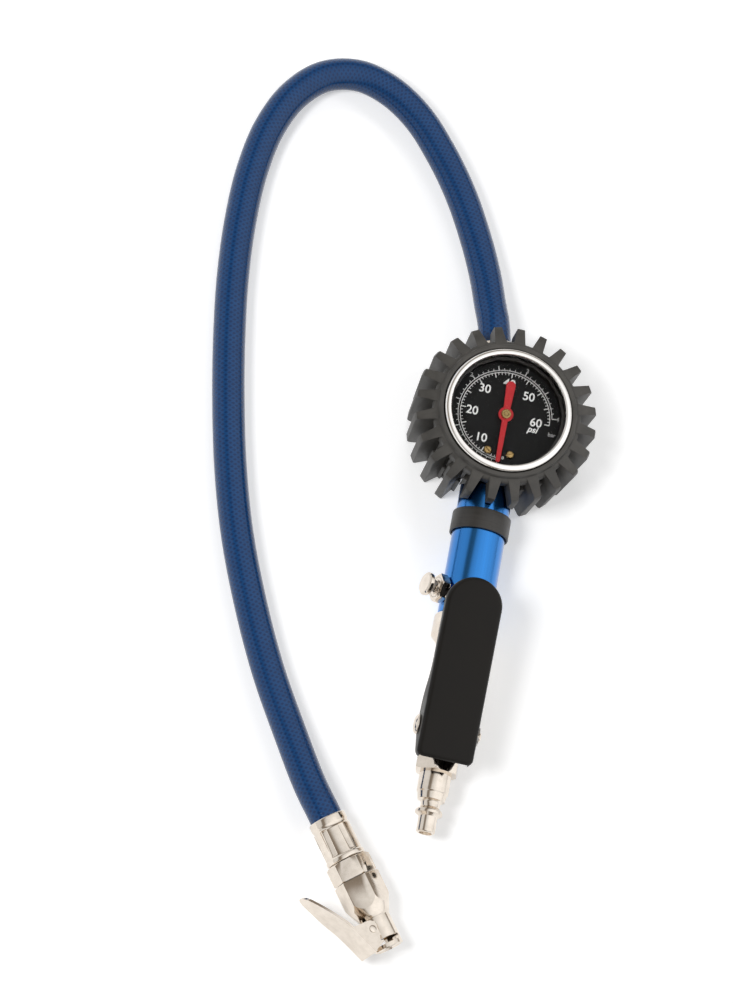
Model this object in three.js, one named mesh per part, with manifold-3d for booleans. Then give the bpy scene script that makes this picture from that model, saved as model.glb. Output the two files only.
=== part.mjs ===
// Tyre inflator with dial gauge: trigger handle, booted pressure gauge, hose and clip-on air chuck.
// Millimetres, +Z up. The tool lies on its back on the plane z = 0 with its dial facing up.
// +Y runs along the handle from the inlet plug to the hose; the origin is the middle of the
// underside of the handle and gauge together.
import * as THREE from 'three';
import { mergeVertices } from 'three/addons/utils/BufferGeometryUtils.js';
import Module from 'manifold-3d';

const wasm = await Module();
wasm.setup();

// ---------------------------------------------------------------- driving dimensions
const GAP = 0.3;                 // clearance between pieces that seat on or slide in each other

const TUBE_R = 11.4;             // anodised handle tube
const TUBE_WALL = 2.4;
const TUBE_LENGTH = 60;
const TUBE_NECK_LENGTH = 9;      // threaded neck that takes the manifold

const BAND_WALL = 0.9;           // rubber band on the tube
const BAND_WIDTH = 9.2;
const BAND_FROM_TUBE_END = 12.6;

const CASE_R = 25.2;             // gauge case
const CASE_WALL = 1.2;
const CASE_TOP = 17.8;           // case rim above the handle axis
const CASE_BACK = 1.3;
const BEZEL_WALL = 2;
const BEZEL_LIP = 0.8;           // how far the bezel lip covers the lens
const BEZEL_DEPTH = 8.9;
const BEZEL_ABOVE_RIM = 5.8;
const LENS_THICK = 2.1;
const GASKET_THICK = 0.5;
const DIAL_THICK = 0.8;
const DIAL_BELOW_RIM = 3.1;      // dial face below the case rim
const DIAL_SCREW_X = 4.9;
const DIAL_SCREW_Y = -17;
const DIAL_SCREW_R = 1.75;
const POINTER_TIP = 21;
const POINTER_TAIL = 14.5;
const POINTER_THICK = 0.6;
const POINTER_HUB_R = 3.2;
const PINION_R = 1.6;            // gauge movement
const GEAR_RATIO = 7.5;          // pointer turns for one turn of the sector
const GEAR_BOTTOM = 8.6;
const GEAR_TOP = 9.8;
const SECTOR_ANGLE = 60;         // degrees, direction from the pointer to the sector's pivot
const MOVEMENT_FLOOR = 6.3;
const MOVEMENT_CEILING = 13.4;
const MANIFOLD_R = 6;            // through rod that carries the gauge
const MANIFOLD_BORE = 2.4;
const HOSE_EXIT = 12;            // degrees that the hose port leans to the left

const BOOT_WALL = 5;             // rubber boot round the gauge
const BOOT_RIM_WIDTH = 5.2;
const BOOT_RIM_DROP = 1.4;       // rim below the bezel's front
const BOOT_TREAD = 2.2;
const LUG_COUNT = 24;
const LUG_TIP_R = 39.5;
const LUG_TIP_WIDTH = 3.2;
const LUG_BASE_WIDTH = 5.2;

const HOUSING_COLLAR_R = 12.5;   // valve housing
const HOUSING_COLLAR_LENGTH = 9.4;
const HOUSING_R = 9.4;
const HOUSING_END_R = 10;
const HOUSING_LENGTH = 59.8;
const HOUSING_SPIGOT = 4.5;
const INLET_BORE_R = 6.5;
const INLET_BORE_DEPTH = 9.6;
const AIRWAY_R = 4;
const VALVE_FROM_TOP = 29.9;     // valve centre below the housing's top face
const VALVE_BORE_R = 4.6;
const VALVE_BOSS_R = 6.2;
const VALVE_BOSS_TOP = 12.1;
const VALVE_BOSS_BOTTOM = -10.4;
const STEM_R = 1.8;
const VALVE_STROKE = 3.12;

const LEVER_WIDTH = 24;          // pressed-steel lever
const LEVER_REACH = 64.5;        // pivot to free end
const LEVER_TAIL = 14.2;         // pivot to square end
const LEVER_SHEET = 1.6;
const LEVER_TOP = 10;            // top of the lever above its pivot
const LEVER_FLANGE = 5.5;
const LEVER_END_WALL = 6;        // depth of the square end
const LEVER_EAR = 15;            // depth of the ears below the lever's top
const LEVER_ROLL = 2.2;          // radius of the rolled edge
const LEVER_ANGLE = 5.6;         // degrees at rest
const PIVOT_FROM_TOP = 51.9;     // pivot below the housing's top face
const PIVOT_Z = 10;
const PIVOT_R = 2;

const PLUG_HEX = 17;             // inlet plug, across flats
const PLUG_HEX_LENGTH = 7;
const PLUG_SHANK_R = 6.75;
const PLUG_SHANK_LENGTH = 9;
const PLUG_TAPER = 3;
const PLUG_NECK_R = 4.15;
const PLUG_NECK_LENGTH = 3.9;
const PLUG_RIDGE_R = 5.8;
const PLUG_RIDGE_LENGTH = 3;
const PLUG_NOSE_R = 4;
const PLUG_NOSE_LENGTH = 6.9;
const PLUG_BORE_R = 2.7;
const SEAL_THICK = 1;

const BLEED_FROM_TUBE_TOP = 50.7; // bleed valve below the tube's gauge end
const BLEED_ANGLE = 20;          // degrees above the side of the tube
const BLEED_SHANK_R = 2.9;
const BLEED_HEX = 10.8;
const BLEED_HEX_LENGTH = 3.7;
const BLEED_BUTTON_R = 5;
const BLEED_STEM_R = 1.6;
const BLEED_STROKE = 1.5;

const HOSE_R = 7;                // hose and its fittings
const FERRULE_WALL = 0.8;
const FERRULE_LENGTH = 19.2;
const CHUCK_NUT = 16.7;
const CHUCK_NUT_LENGTH = 8.2;
const CHUCK_HEX = 17.2;
const CHUCK_HEX_LENGTH = 17.8;
const CHUCK_BARREL_R = 6.3;
const CHUCK_LENGTH = 31.5;
const CHUCK_BORE_R = 4.5;
const CHUCK_LEAD_IN = 0.8;       // chamfer inside the mouth
const CHUCK_BORE_DEPTH = 16;
const CHUCK_SLOT = 2.4;          // slot for the clip's jaw
const CHUCK_SLOT_FROM_MOUTH = 2;
const CLIP_SHEET = 1.2;
const CLIP_WIDTH = 12.6;
const CLIP_PIN_R = 0.9;

const CHUCK_START = [-41.1, -184.4]; // hose end of the ferrule, from the gauge centre
const CHUCK_Z = 9.95;
const CHUCK_TURN = -143.3;       // degrees; the chuck points down and to the right
const CHUCK_ROLL = -20;          // degrees about its length; lifts the clip's side
const CHUCK_HEX_TURN = 68;       // degrees; a flat of the hexagons faces the floor

// Hose route from the gauge centre: x, y, height above the plane it lies on.
const HOSE_ROUTE = [
  [-9.9, 46.2, 12.4], [-12.5, 54.7, 10.8], [-17, 69.3, 8.6], [-24, 86, 7.4],
  [-34, 104.7, 7.15], [-46.3, 122, 7.15], [-59, 135.8, 7.15], [-73.4, 145, 7.15],
  [-88, 148.4, 7.15], [-102.6, 144.2, 7.15], [-114.2, 132, 7.15], [-121.8, 114.3, 7.15],
  [-125.5, 92, 7.15], [-126, 68, 7.15], [-124.3, 42, 7.15], [-120.8, 16, 7.15],
  [-115.8, -12, 7.15], [-109, -42.5, 7.15], [-100.6, -71, 7.15], [-89.4, -99.5, 7.15],
  [-76.4, -127, 7.15], [-62.4, -151.4, 7.5], [-50.8, -171, 9.1],
];
const HOSE_START = CASE_R + 8.1;
const HOSE_STRAIGHT = [0, 4, 7];  // first points of the route, straight out of the port
const HOSE_STEPS = 42;

const FINE = 32;                 // facets round large, middling, small and hidden pieces
const ROUND = 18;
const SMALL = 12;
const TINY = 8;
const BOOT_FACETS = 36;
const NOTCH_FACETS = 20;

// ---------------------------------------------------------------- worked-out places
// Heights in the handle frame are measured from the handle axis, lengths from the gauge centre.
const BAND_R = TUBE_R + GAP + BAND_WALL;
const AXIS_Z = BAND_R + GAP;
const BEZEL_R = CASE_R + GAP + BEZEL_WALL;
const BEZEL_TOP = CASE_TOP + BEZEL_ABOVE_RIM;
const TUBE_TOP = -(CASE_R + 2.6);
const TUBE_END = TUBE_TOP - TUBE_LENGTH;
const TUBE_BORE = TUBE_R - TUBE_WALL;
const BLEED_Y = TUBE_TOP - BLEED_FROM_TUBE_TOP;
const HOUSING_TOP = TUBE_END - GAP;
const HOUSING_END = HOUSING_TOP - HOUSING_LENGTH;
const VALVE_Y = HOUSING_TOP - VALVE_FROM_TOP;
const PIVOT_Y = HOUSING_TOP - PIVOT_FROM_TOP;
const PLUG_HEX_TOP = HOUSING_END - SEAL_THICK - 2 * GAP;
const PLUG_TIP = PLUG_HEX_TOP - PLUG_HEX_LENGTH - PLUG_SHANK_LENGTH - PLUG_TAPER
  - PLUG_NECK_LENGTH - PLUG_RIDGE_LENGTH - PLUG_NOSE_LENGTH;
const BOOT_IN = CASE_R + GAP;
const BOOT_OUT = BOOT_IN + BOOT_WALL;
const BOOT_TOP = BEZEL_TOP - BOOT_RIM_DROP;
const BOOT_BOTTOM = -AXIS_Z;
const GAUGE_Y = (-PLUG_TIP - LUG_TIP_R) / 2;
const STEM_TOP = PIVOT_Z + (LEVER_TOP - LEVER_SHEET) / Math.cos(radians(LEVER_ANGLE))
  + (VALVE_Y - PIVOT_Y - STEM_R) * Math.tan(radians(LEVER_ANGLE)) - GAP;

// ---------------------------------------------------------------- materials
function finish(color, roughness, metalness) {
  return new THREE.MeshStandardMaterial({ color, roughness, metalness });
}
const blueAnodised = finish(0x1f6fd0, 0.28, 0.9);
const nickel = finish(0xcfc6bb, 0.22, 1);
const chrome = finish(0xe4e2de, 0.15, 1);
const blackSteel = finish(0x1d1b19, 0.45, 0.5);
const blackRubber = finish(0x2c2b29, 0.75, 0);
const brass = finish(0xc8a04a, 0.3, 1);
const springSteel = finish(0x9a9a98, 0.35, 1);
const dialBlack = finish(0x101010, 0.5, 0);
const pointerRed = finish(0xc3202a, 0.45, 0);
const glass = finish(0xf4f6f6, 0.05, 0);
const hoseBlue = finish(0x173c78, 0.25, 0);

// ---------------------------------------------------------------- solid tools
function radians(degrees) {
  return degrees * Math.PI / 180;
}

// A closed geometry as a solid; pieces wound inside out are turned round.
function solid(geometry) {
  const bare = geometry.clone();
  for (const name of Object.keys(bare.attributes)) {
    if (name !== 'position') bare.deleteAttribute(name);
  }
  const merged = mergeVertices(bare, 1e-4);
  const points = merged.attributes.position.array;
  const index = merged.index.array;
  const triangles = [];
  let volume = 0;
  const a = new THREE.Vector3();
  const b = new THREE.Vector3();
  const c = new THREE.Vector3();
  for (let i = 0; i < index.length; i += 3) {
    const [p, q, r] = [index[i], index[i + 1], index[i + 2]];
    if (p === q || q === r || r === p) continue;
    a.fromArray(points, 3 * p);
    b.fromArray(points, 3 * q);
    c.fromArray(points, 3 * r);
    volume += a.dot(b.cross(c));
    triangles.push(p, q, r);
  }
  if (volume < 0) triangles.reverse();
  return new wasm.Manifold(new wasm.Mesh({
    numProp: 3,
    vertProperties: new Float32Array(points),
    triVerts: new Uint32Array(triangles),
  }));
}

function geometryOf(body) {
  const mesh = body.getMesh();
  const geometry = new THREE.BufferGeometry();
  geometry.setAttribute('position', new THREE.BufferAttribute(mesh.vertProperties, 3));
  geometry.setIndex(new THREE.BufferAttribute(mesh.triVerts, 1));
  geometry.computeVertexNormals();
  return geometry;
}

function join(first, ...others) {
  return others.reduce((sum, other) => sum.add(other), first);
}

function cut(first, ...others) {
  return others.reduce((rest, other) => rest.subtract(other), first);
}

// A turned body about the Y axis from [radius, height] pairs.
function turned(profile, segments = ROUND) {
  const points = profile.map(([r, y]) => new THREE.Vector2(r, y));
  return new THREE.LatheGeometry(points, segments);
}

function turnedTube(profile, bore, segments = ROUND) {
  const first = profile[0];
  const last = profile[profile.length - 1];
  return turned([[bore, first[1]], ...profile, [bore, last[1]], [bore, first[1]]], segments);
}

function rod(radius, from, to, segments = SMALL) {
  return new THREE.CylinderGeometry(radius, radius, Math.abs(to - from), segments)
    .translate(0, (from + to) / 2, 0);
}

// A hexagonal bar along Y, across the given flats.
function hexBar(flats, from, to, turn = 0) {
  return rod(flats / 2 / Math.cos(Math.PI / 6), from, to, 6).rotateY(turn);
}

// Turned bodies stand along Y; these lay them along the dial's axis or the width.
function upright(geometry) {
  return geometry.rotateX(Math.PI / 2);
}

function crosswise(geometry) {
  return geometry.rotateZ(Math.PI / 2);
}

function box(x0, x1, y0, y1, z0, z1) {
  return new THREE.BoxGeometry(x1 - x0, y1 - y0, z1 - z0)
    .translate((x0 + x1) / 2, (y0 + y1) / 2, (z0 + z1) / 2);
}

function outline(points) {
  const shape = new THREE.Shape();
  shape.moveTo(...points[0]);
  for (const point of points.slice(1)) shape.lineTo(...point);
  shape.closePath();
  return shape;
}

// A flat shape in XY, given thickness from z0 to z1.
function plate(shape, z0, z1, curveSegments = 6) {
  return new THREE.ExtrudeGeometry(shape, { depth: z1 - z0, bevelEnabled: false, curveSegments })
    .translate(0, 0, z0);
}

// A coil spring along Y.
class Helix extends THREE.Curve {
  constructor(radius, from, to, turns) {
    super();
    Object.assign(this, { radius, from, to, turns });
  }

  getPoint(t, target = new THREE.Vector3()) {
    const angle = 2 * Math.PI * this.turns * t;
    return target.set(this.radius * Math.cos(angle), this.from + (this.to - this.from) * t,
      this.radius * Math.sin(angle));
  }
}

function coil(radius, wire, from, to, turns) {
  const path = new Helix(radius, from + wire, to - wire, turns);
  const section = new THREE.Shape();
  section.absarc(0, 0, wire, 0, 2 * Math.PI);
  return new THREE.ExtrudeGeometry(section, {
    extrudePath: path, steps: turns * 9, bevelEnabled: false, curveSegments: 3,
  });
}

function piece(group, name, geometry, material) {
  const body = geometry.isBufferGeometry ? solid(geometry) : geometry;
  const mesh = new THREE.Mesh(geometryOf(body), material);
  mesh.name = name;
  group.add(mesh);
  return mesh;
}

// ---------------------------------------------------------------- handle tube and band
function addTube(group) {
  const neckEnd = TUBE_TOP - TUBE_NECK_LENGTH;
  const edge = 0.8;
  const body = solid(turned([
    [MANIFOLD_R + GAP, TUBE_TOP], [TUBE_R - edge, TUBE_TOP], [TUBE_R, TUBE_TOP - edge],
    [TUBE_R, TUBE_END], [TUBE_BORE, TUBE_END], [TUBE_BORE, neckEnd],
    [MANIFOLD_R + GAP, neckEnd], [MANIFOLD_R + GAP, TUBE_TOP],
  ], FINE));
  const port = crosswise(rod(BLEED_SHANK_R + GAP, TUBE_BORE - 3, TUBE_R + 3, SMALL))
    .rotateY(radians(BLEED_ANGLE)).translate(0, BLEED_Y, 0);
  piece(group, 'body_tube', cut(body, solid(port)), blueAnodised);

  const top = TUBE_TOP - BAND_FROM_TUBE_END;
  const soft = 0.35;
  piece(group, 'tube_band', turnedTube([
    [BAND_R - soft, top], [BAND_R, top - soft], [BAND_R, top - BAND_WIDTH + soft],
    [BAND_R - soft, top - BAND_WIDTH],
  ], TUBE_R + GAP, ROUND + 4), blackRubber);
}

// ---------------------------------------------------------------- valve housing and inlet
function addHousing(group) {
  const collarEnd = HOUSING_TOP - HOUSING_COLLAR_LENGTH;
  const spigotR = TUBE_BORE - GAP;
  const bodyStart = collarEnd - 3.6;
  const endCollar = HOUSING_END + 6.2;
  const barrel = solid(turned([
    [0, HOUSING_TOP + HOUSING_SPIGOT], [spigotR - 0.5, HOUSING_TOP + HOUSING_SPIGOT],
    [spigotR, HOUSING_TOP + HOUSING_SPIGOT - 0.5], [spigotR, HOUSING_TOP],
    [HOUSING_COLLAR_R - 0.8, HOUSING_TOP], [HOUSING_COLLAR_R, HOUSING_TOP - 0.8],
    [HOUSING_COLLAR_R, collarEnd], [HOUSING_COLLAR_R - 1, collarEnd - 1.2],
    [HOUSING_R, bodyStart], [HOUSING_R, endCollar + 1], [HOUSING_END_R, endCollar],
    [HOUSING_END_R, HOUSING_END + 0.6], [HOUSING_END_R - 0.6, HOUSING_END], [0, HOUSING_END],
  ], ROUND));
  const valveBoss = solid(upright(rod(VALVE_BOSS_R, VALVE_BOSS_BOTTOM, VALVE_BOSS_TOP, ROUND))
    .translate(0, VALVE_Y, 0));
  const lugHalf = LEVER_WIDTH / 2 - LEVER_SHEET - 0.7;
  const lugR = PIVOT_R + 2.7;
  const lugHead = solid(crosswise(rod(lugR, -lugHalf, lugHalf, SMALL))
    .translate(0, PIVOT_Y, PIVOT_Z));
  const lugFoot = solid(box(-lugHalf, lugHalf, PIVOT_Y - lugR, PIVOT_Y + lugR, 0, PIVOT_Z));
  const web = solid(box(-2.4, 2.4, PIVOT_Y, VALVE_Y, 0, PIVOT_Z - 0.6));

  const airway = solid(rod(AIRWAY_R, HOUSING_END + 1, HOUSING_TOP + HOUSING_SPIGOT + 1, SMALL));
  const inlet = solid(rod(INLET_BORE_R, HOUSING_END - 1, HOUSING_END + INLET_BORE_DEPTH, SMALL));
  const valveBore = solid(upright(rod(VALVE_BORE_R, VALVE_BOSS_BOTTOM - 1, VALVE_BOSS_TOP + 1, SMALL))
    .translate(0, VALVE_Y, 0));
  const pinHole = solid(crosswise(rod(PIVOT_R + GAP, -lugHalf - 1, lugHalf + 1, SMALL))
    .translate(0, PIVOT_Y, PIVOT_Z));
  piece(group, 'valve_housing', cut(join(barrel, valveBoss, lugHead, lugFoot, web),
    airway, inlet, valveBore, pinHole), nickel);
}

function addInletPlug(group) {
  const hexEnd = PLUG_HEX_TOP - PLUG_HEX_LENGTH;
  const shankEnd = hexEnd - PLUG_SHANK_LENGTH;
  const neckTop = shankEnd - PLUG_TAPER;
  const neckEnd = neckTop - PLUG_NECK_LENGTH;
  const ridgeEnd = neckEnd - PLUG_RIDGE_LENGTH;
  const threadTop = HOUSING_END + INLET_BORE_DEPTH - 1.4;
  const threadR = INLET_BORE_R - GAP;
  const dip = new THREE.EllipseCurve(PLUG_NECK_R + 1.6, neckTop, 1.6, 1.5, Math.PI / 2, Math.PI)
    .getPoints(3).map((p) => [p.x, p.y - 1.5]);
  const stem = solid(turnedTube([
    [threadR - 0.6, threadTop], [threadR, threadTop - 0.6], [threadR, PLUG_HEX_TOP],
    [PLUG_SHANK_R, PLUG_HEX_TOP], [PLUG_SHANK_R, shankEnd + 0.6], [PLUG_SHANK_R - 0.5, shankEnd],
    ...dip, [PLUG_NECK_R, neckEnd + 1], [PLUG_NECK_R + 0.7, neckEnd + 0.2],
    [PLUG_RIDGE_R - 0.5, neckEnd], [PLUG_RIDGE_R, neckEnd - 0.6],
    [PLUG_RIDGE_R, ridgeEnd + 1.2], [PLUG_NOSE_R, ridgeEnd],
    [PLUG_NOSE_R, PLUG_TIP + 0.5], [PLUG_NOSE_R - 0.4, PLUG_TIP],
  ], PLUG_BORE_R, ROUND));
  const corner = PLUG_HEX / 2 / Math.cos(Math.PI / 6);
  const chamfered = solid(turned([
    [0, PLUG_HEX_TOP], [corner - 0.9, PLUG_HEX_TOP], [corner + 0.1, PLUG_HEX_TOP - 0.7],
    [corner + 0.1, hexEnd + 0.7], [corner - 0.9, hexEnd], [0, hexEnd],
  ], ROUND));
  const bore = solid(rod(PLUG_BORE_R, PLUG_TIP - 1, threadTop + 1, ROUND));
  const hex = solid(hexBar(PLUG_HEX, hexEnd, PLUG_HEX_TOP, radians(30))).intersect(chamfered);
  piece(group, 'inlet_plug', join(stem, cut(hex, bore)), nickel);
  const sealTop = HOUSING_END - GAP;
  piece(group, 'inlet_seal', turnedTube([
    [PLUG_HEX / 2 - 0.3, sealTop], [PLUG_HEX / 2 - 0.3, sealTop - SEAL_THICK],
  ], threadR + GAP), blackRubber);
}

// ---------------------------------------------------------------- trigger valve
function addValve(group) {
  const place = (geometry) => upright(geometry).translate(0, VALVE_Y, 0);
  const bushBottom = 1;
  const poppetTop = -1.2;
  const poppetBottom = -3.2;
  const capInner = -8.6;
  const capHead = VALVE_BOSS_BOTTOM - GAP;
  const fit = VALVE_BORE_R - GAP;

  piece(group, 'valve_bush', place(turnedTube([
    [fit, bushBottom], [fit, VALVE_BOSS_TOP + GAP], [fit + 1.5, VALVE_BOSS_TOP + GAP],
    [fit + 1.5, VALVE_BOSS_TOP + 1.2], [fit + 0.9, VALVE_BOSS_TOP + 1.7],
  ], STEM_R + GAP, SMALL)), brass);

  const tip = VALVE_STROKE + 1.7;
  piece(group, 'valve_stem', place(turned([
    [0, poppetBottom - tip + VALVE_STROKE], [1.3, poppetBottom - tip + VALVE_STROKE],
    [1.3, poppetBottom], [3.6, poppetBottom], [3.6, poppetTop], [STEM_R, poppetTop],
    [STEM_R, STEM_TOP - 0.7], [STEM_R - 0.7, STEM_TOP], [0, STEM_TOP],
  ], SMALL)), nickel);

  piece(group, 'valve_seal', place(turnedTube([
    [3.5, poppetTop + GAP], [3.5, bushBottom - GAP],
  ], STEM_R + GAP, SMALL)), blackRubber);

  piece(group, 'valve_spring', place(coil(3, 0.28, capInner + GAP, poppetBottom - GAP, 3)),
    springSteel);

  const cap = solid(turned([
    [0, capHead - 1.4], [fit + 0.8, capHead - 1.4], [fit + 1.5, capHead - 0.8],
    [fit + 1.5, capHead], [fit, capHead], [fit, capInner], [0, capInner],
  ], SMALL));
  const driverSlot = solid(box(-0.7, 0.7, capHead - 2, capHead - 0.7, -7, 7));
  piece(group, 'valve_cap', geometryOf(cut(cap, driverSlot)).applyMatrix4(
    new THREE.Matrix4().makeTranslation(0, VALVE_Y, 0)
      .multiply(new THREE.Matrix4().makeRotationX(Math.PI / 2)),
  ), nickel);
}

// ---------------------------------------------------------------- lever
function leverPlan(inset, tail) {
  const half = LEVER_WIDTH / 2 - inset;
  const corner = 2.8;
  const shape = new THREE.Shape();
  shape.moveTo(0, -tail);
  shape.lineTo(half - corner, -tail);
  shape.absarc(half - corner, -tail + corner, corner, -Math.PI / 2, 0);
  shape.lineTo(half, LEVER_REACH - LEVER_WIDTH / 2);
  shape.absarc(0, LEVER_REACH - LEVER_WIDTH / 2, half, 0, Math.PI);
  shape.lineTo(-half, -tail + corner);
  shape.absarc(-half + corner, -tail + corner, corner, Math.PI, 1.5 * Math.PI);
  return shape;
}

function rolledSlab(shape, top, depth, roll) {
  return solid(new THREE.ExtrudeGeometry(shape, {
    depth, bevelEnabled: true, bevelThickness: roll, bevelSize: roll, bevelOffset: -roll,
    bevelSegments: 3, curveSegments: 8,
  }).translate(0, 0, top - depth - roll));
}

function addLever(group) {
  const frame = new THREE.Group();
  frame.position.set(0, PIVOT_Y, PIVOT_Z);
  frame.rotation.x = radians(LEVER_ANGLE);
  group.add(frame);

  const outer = rolledSlab(leverPlan(0, LEVER_TAIL), LEVER_TOP, 30, LEVER_ROLL);
  const inner = rolledSlab(leverPlan(LEVER_SHEET, LEVER_TAIL + 10), LEVER_TOP - LEVER_SHEET, 40,
    LEVER_ROLL - LEVER_SHEET);
  const flangeBottom = LEVER_TOP - LEVER_FLANGE;
  const earBottom = LEVER_TOP - LEVER_EAR;
  const side = new THREE.Shape();
  side.moveTo(-LEVER_TAIL - 2, LEVER_TOP + 2);
  side.lineTo(-LEVER_TAIL - 2, LEVER_TOP - LEVER_END_WALL);
  side.lineTo(-LEVER_TAIL + 2, LEVER_TOP - LEVER_END_WALL);
  side.absarc(0, earBottom + 5, 5, 1.15 * Math.PI, 1.5 * Math.PI);
  side.lineTo(7, earBottom);
  side.quadraticCurveTo(13, earBottom, 18, earBottom + 5);
  side.quadraticCurveTo(22, flangeBottom, 29, flangeBottom);
  side.lineTo(LEVER_REACH + 2, flangeBottom);
  side.lineTo(LEVER_REACH + 2, LEVER_TOP + 2);
  const kept = solid(plate(side, -LEVER_WIDTH, LEVER_WIDTH).rotateX(Math.PI / 2)
    .rotateZ(Math.PI / 2));
  const pinHole = solid(crosswise(rod(PIVOT_R + GAP, -LEVER_WIDTH, LEVER_WIDTH, SMALL)));
  piece(frame, 'lever', cut(cut(outer, inner).intersect(kept), pinHole), blackSteel);
}

function addLeverPin(group) {
  const ear = LEVER_WIDTH / 2;
  const grooveStart = ear + GAP;
  const clipThick = 0.8;
  const grooveEnd = grooveStart + clipThick + GAP;
  const place = (geometry) => crosswise(geometry).translate(0, PIVOT_Y, PIVOT_Z);
  // Heights run towards -X: the domed head is at the left and the clip groove at the right.
  const head = ear + GAP;
  piece(group, 'lever_pin', place(turned([
    [0, -grooveEnd - 0.9], [PIVOT_R - 0.4, -grooveEnd - 0.9], [PIVOT_R, -grooveEnd - 0.5],
    [PIVOT_R, -grooveEnd], [PIVOT_R - 0.5, -grooveEnd], [PIVOT_R - 0.5, -grooveStart],
    [PIVOT_R, -grooveStart], [PIVOT_R, head], [4.3, head], [4.3, head + 0.5],
    [3.6, head + 1.3], [2.2, head + 1.9], [0, head + 2.1],
  ], SMALL)), nickel);

  const ring = solid(turnedTube([
    [4.1, -grooveStart - 0.15 - clipThick], [4.1, -grooveStart - 0.15],
  ], PIVOT_R - 0.3, SMALL));
  const mouth = solid(box(-1.3, 1.3, -grooveEnd - 2, -grooveStart + 2, 0, 6));
  const clip = geometryOf(cut(ring, mouth));
  piece(group, 'lever_pin_clip', place(clip), springSteel);
}

// ---------------------------------------------------------------- bleed valve
function addBleedValve(group) {
  const frame = new THREE.Group();
  frame.position.set(0, BLEED_Y, 0);
  frame.rotation.y = radians(BLEED_ANGLE);
  group.add(frame);

  const hexStart = TUBE_R + 0.5;
  const hexEnd = hexStart + BLEED_HEX_LENGTH;
  const nozzleEnd = hexEnd + 0.8;
  const inner = TUBE_BORE - 0.7;
  const stemBore = BLEED_STEM_R + GAP;
  const shank = solid(turnedTube([
    [BLEED_SHANK_R, inner], [BLEED_SHANK_R, hexStart], [4.6, hexStart], [4.6, hexEnd],
    [3.2, hexEnd], [3.2, nozzleEnd],
  ], stemBore, SMALL));
  const hex = solid(hexBar(BLEED_HEX, hexStart, hexEnd, radians(10)));
  const bore = solid(rod(stemBore, inner - 1, nozzleEnd + 1, SMALL));
  piece(frame, 'bleed_body', crosswise(geometryOf(join(shank, cut(hex, bore)))), nickel);

  const springLength = 1.9;
  const cup = BLEED_STROKE + 0.1 - GAP;
  const disc = nozzleEnd + 2 * GAP + springLength;
  const tail = inner - 2;
  piece(frame, 'bleed_button', crosswise(turned([
    [0, tail], [2.6, tail], [2.6, tail + 0.8], [BLEED_STEM_R, tail + 0.8],
    [BLEED_STEM_R, disc + cup], [3.5, disc + cup], [3.5, disc], [BLEED_BUTTON_R - 0.4, disc],
    [BLEED_BUTTON_R, disc + 0.4], [BLEED_BUTTON_R, disc + 1.9], [BLEED_BUTTON_R - 0.7, disc + 2.5],
    [0, disc + 2.7],
  ], ROUND)), nickel);
  piece(frame, 'bleed_seal', crosswise(turnedTube([
    [2.8, tail + 1.1], [2.8, inner - GAP],
  ], BLEED_STEM_R + GAP, SMALL)), blackRubber);
  piece(frame, 'bleed_spring', crosswise(coil(2.6, 0.25, nozzleEnd + GAP,
    nozzleEnd + GAP + springLength, 2)), springSteel);
}

// ---------------------------------------------------------------- gauge
// A rod from the handle that turns at the gauge's centre towards the hose port.
function elbow(radius, from, to, facets) {
  return join(
    solid(rod(radius, from, 0, facets)),
    solid(new THREE.SphereGeometry(radius, facets, facets / 2)),
    solid(rod(radius, 0, to, facets).rotateZ(radians(HOSE_EXIT))),
  );
}

function addGaugeBody(group) {
  const caseFloor = -MANIFOLD_R - 2 * GAP;
  const portR = MANIFOLD_R + GAP;
  const cup = solid(upright(turned([
    [0, caseFloor - CASE_BACK], [CASE_R - 2, caseFloor - CASE_BACK], [CASE_R, caseFloor + 0.7],
    [CASE_R, CASE_TOP], [CASE_R - CASE_WALL, CASE_TOP], [CASE_R - CASE_WALL, caseFloor + 1.2],
    [CASE_R - 2.4, caseFloor], [0, caseFloor],
  ], FINE)));
  const ports = elbow(portR, -CASE_R - 5, CASE_R + 5, ROUND);
  piece(group, 'gauge_case', cut(cup, ports), blackSteel);

  const manifoldTop = CASE_R + 7.8;
  const manifoldLow = TUBE_TOP - TUBE_NECK_LENGTH + 0.6;
  piece(group, 'gauge_manifold', cut(elbow(MANIFOLD_R, manifoldLow, manifoldTop, ROUND),
    elbow(MANIFOLD_BORE, manifoldLow - 1, manifoldTop + 1, SMALL)), brass);

  const lensBottom = CASE_TOP + 2 * GAP + GASKET_THICK;
  const lensTop = lensBottom + LENS_THICK;
  const seatR = CASE_R + GAP;
  const openR = BEZEL_R - BEZEL_WALL - BEZEL_LIP;
  const bezelBottom = BEZEL_TOP - BEZEL_DEPTH;
  piece(group, 'gauge_bezel', upright(turned([
    [seatR, bezelBottom], [BEZEL_R, bezelBottom], [BEZEL_R, BEZEL_TOP - 1.8],
    [BEZEL_R - 0.35, BEZEL_TOP - 0.9], [BEZEL_R - 1, BEZEL_TOP - 0.2],
    [BEZEL_R - 1.7, BEZEL_TOP], [openR + 0.5, BEZEL_TOP - 0.15], [openR, BEZEL_TOP - 0.6],
    [openR, lensTop + GAP], [seatR, lensTop + GAP], [seatR, bezelBottom],
  ], FINE)), chrome);
  piece(group, 'gauge_lens', upright(turned([
    [0, lensBottom], [seatR - GAP, lensBottom], [seatR - GAP, lensTop], [0, lensTop],
  ], FINE)), glass);
  piece(group, 'lens_gasket', upright(turnedTube([
    [CASE_R, CASE_TOP + GAP], [CASE_R, CASE_TOP + GAP + GASKET_THICK],
  ], CASE_R - CASE_WALL, ROUND)), blackRubber);
}

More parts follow.
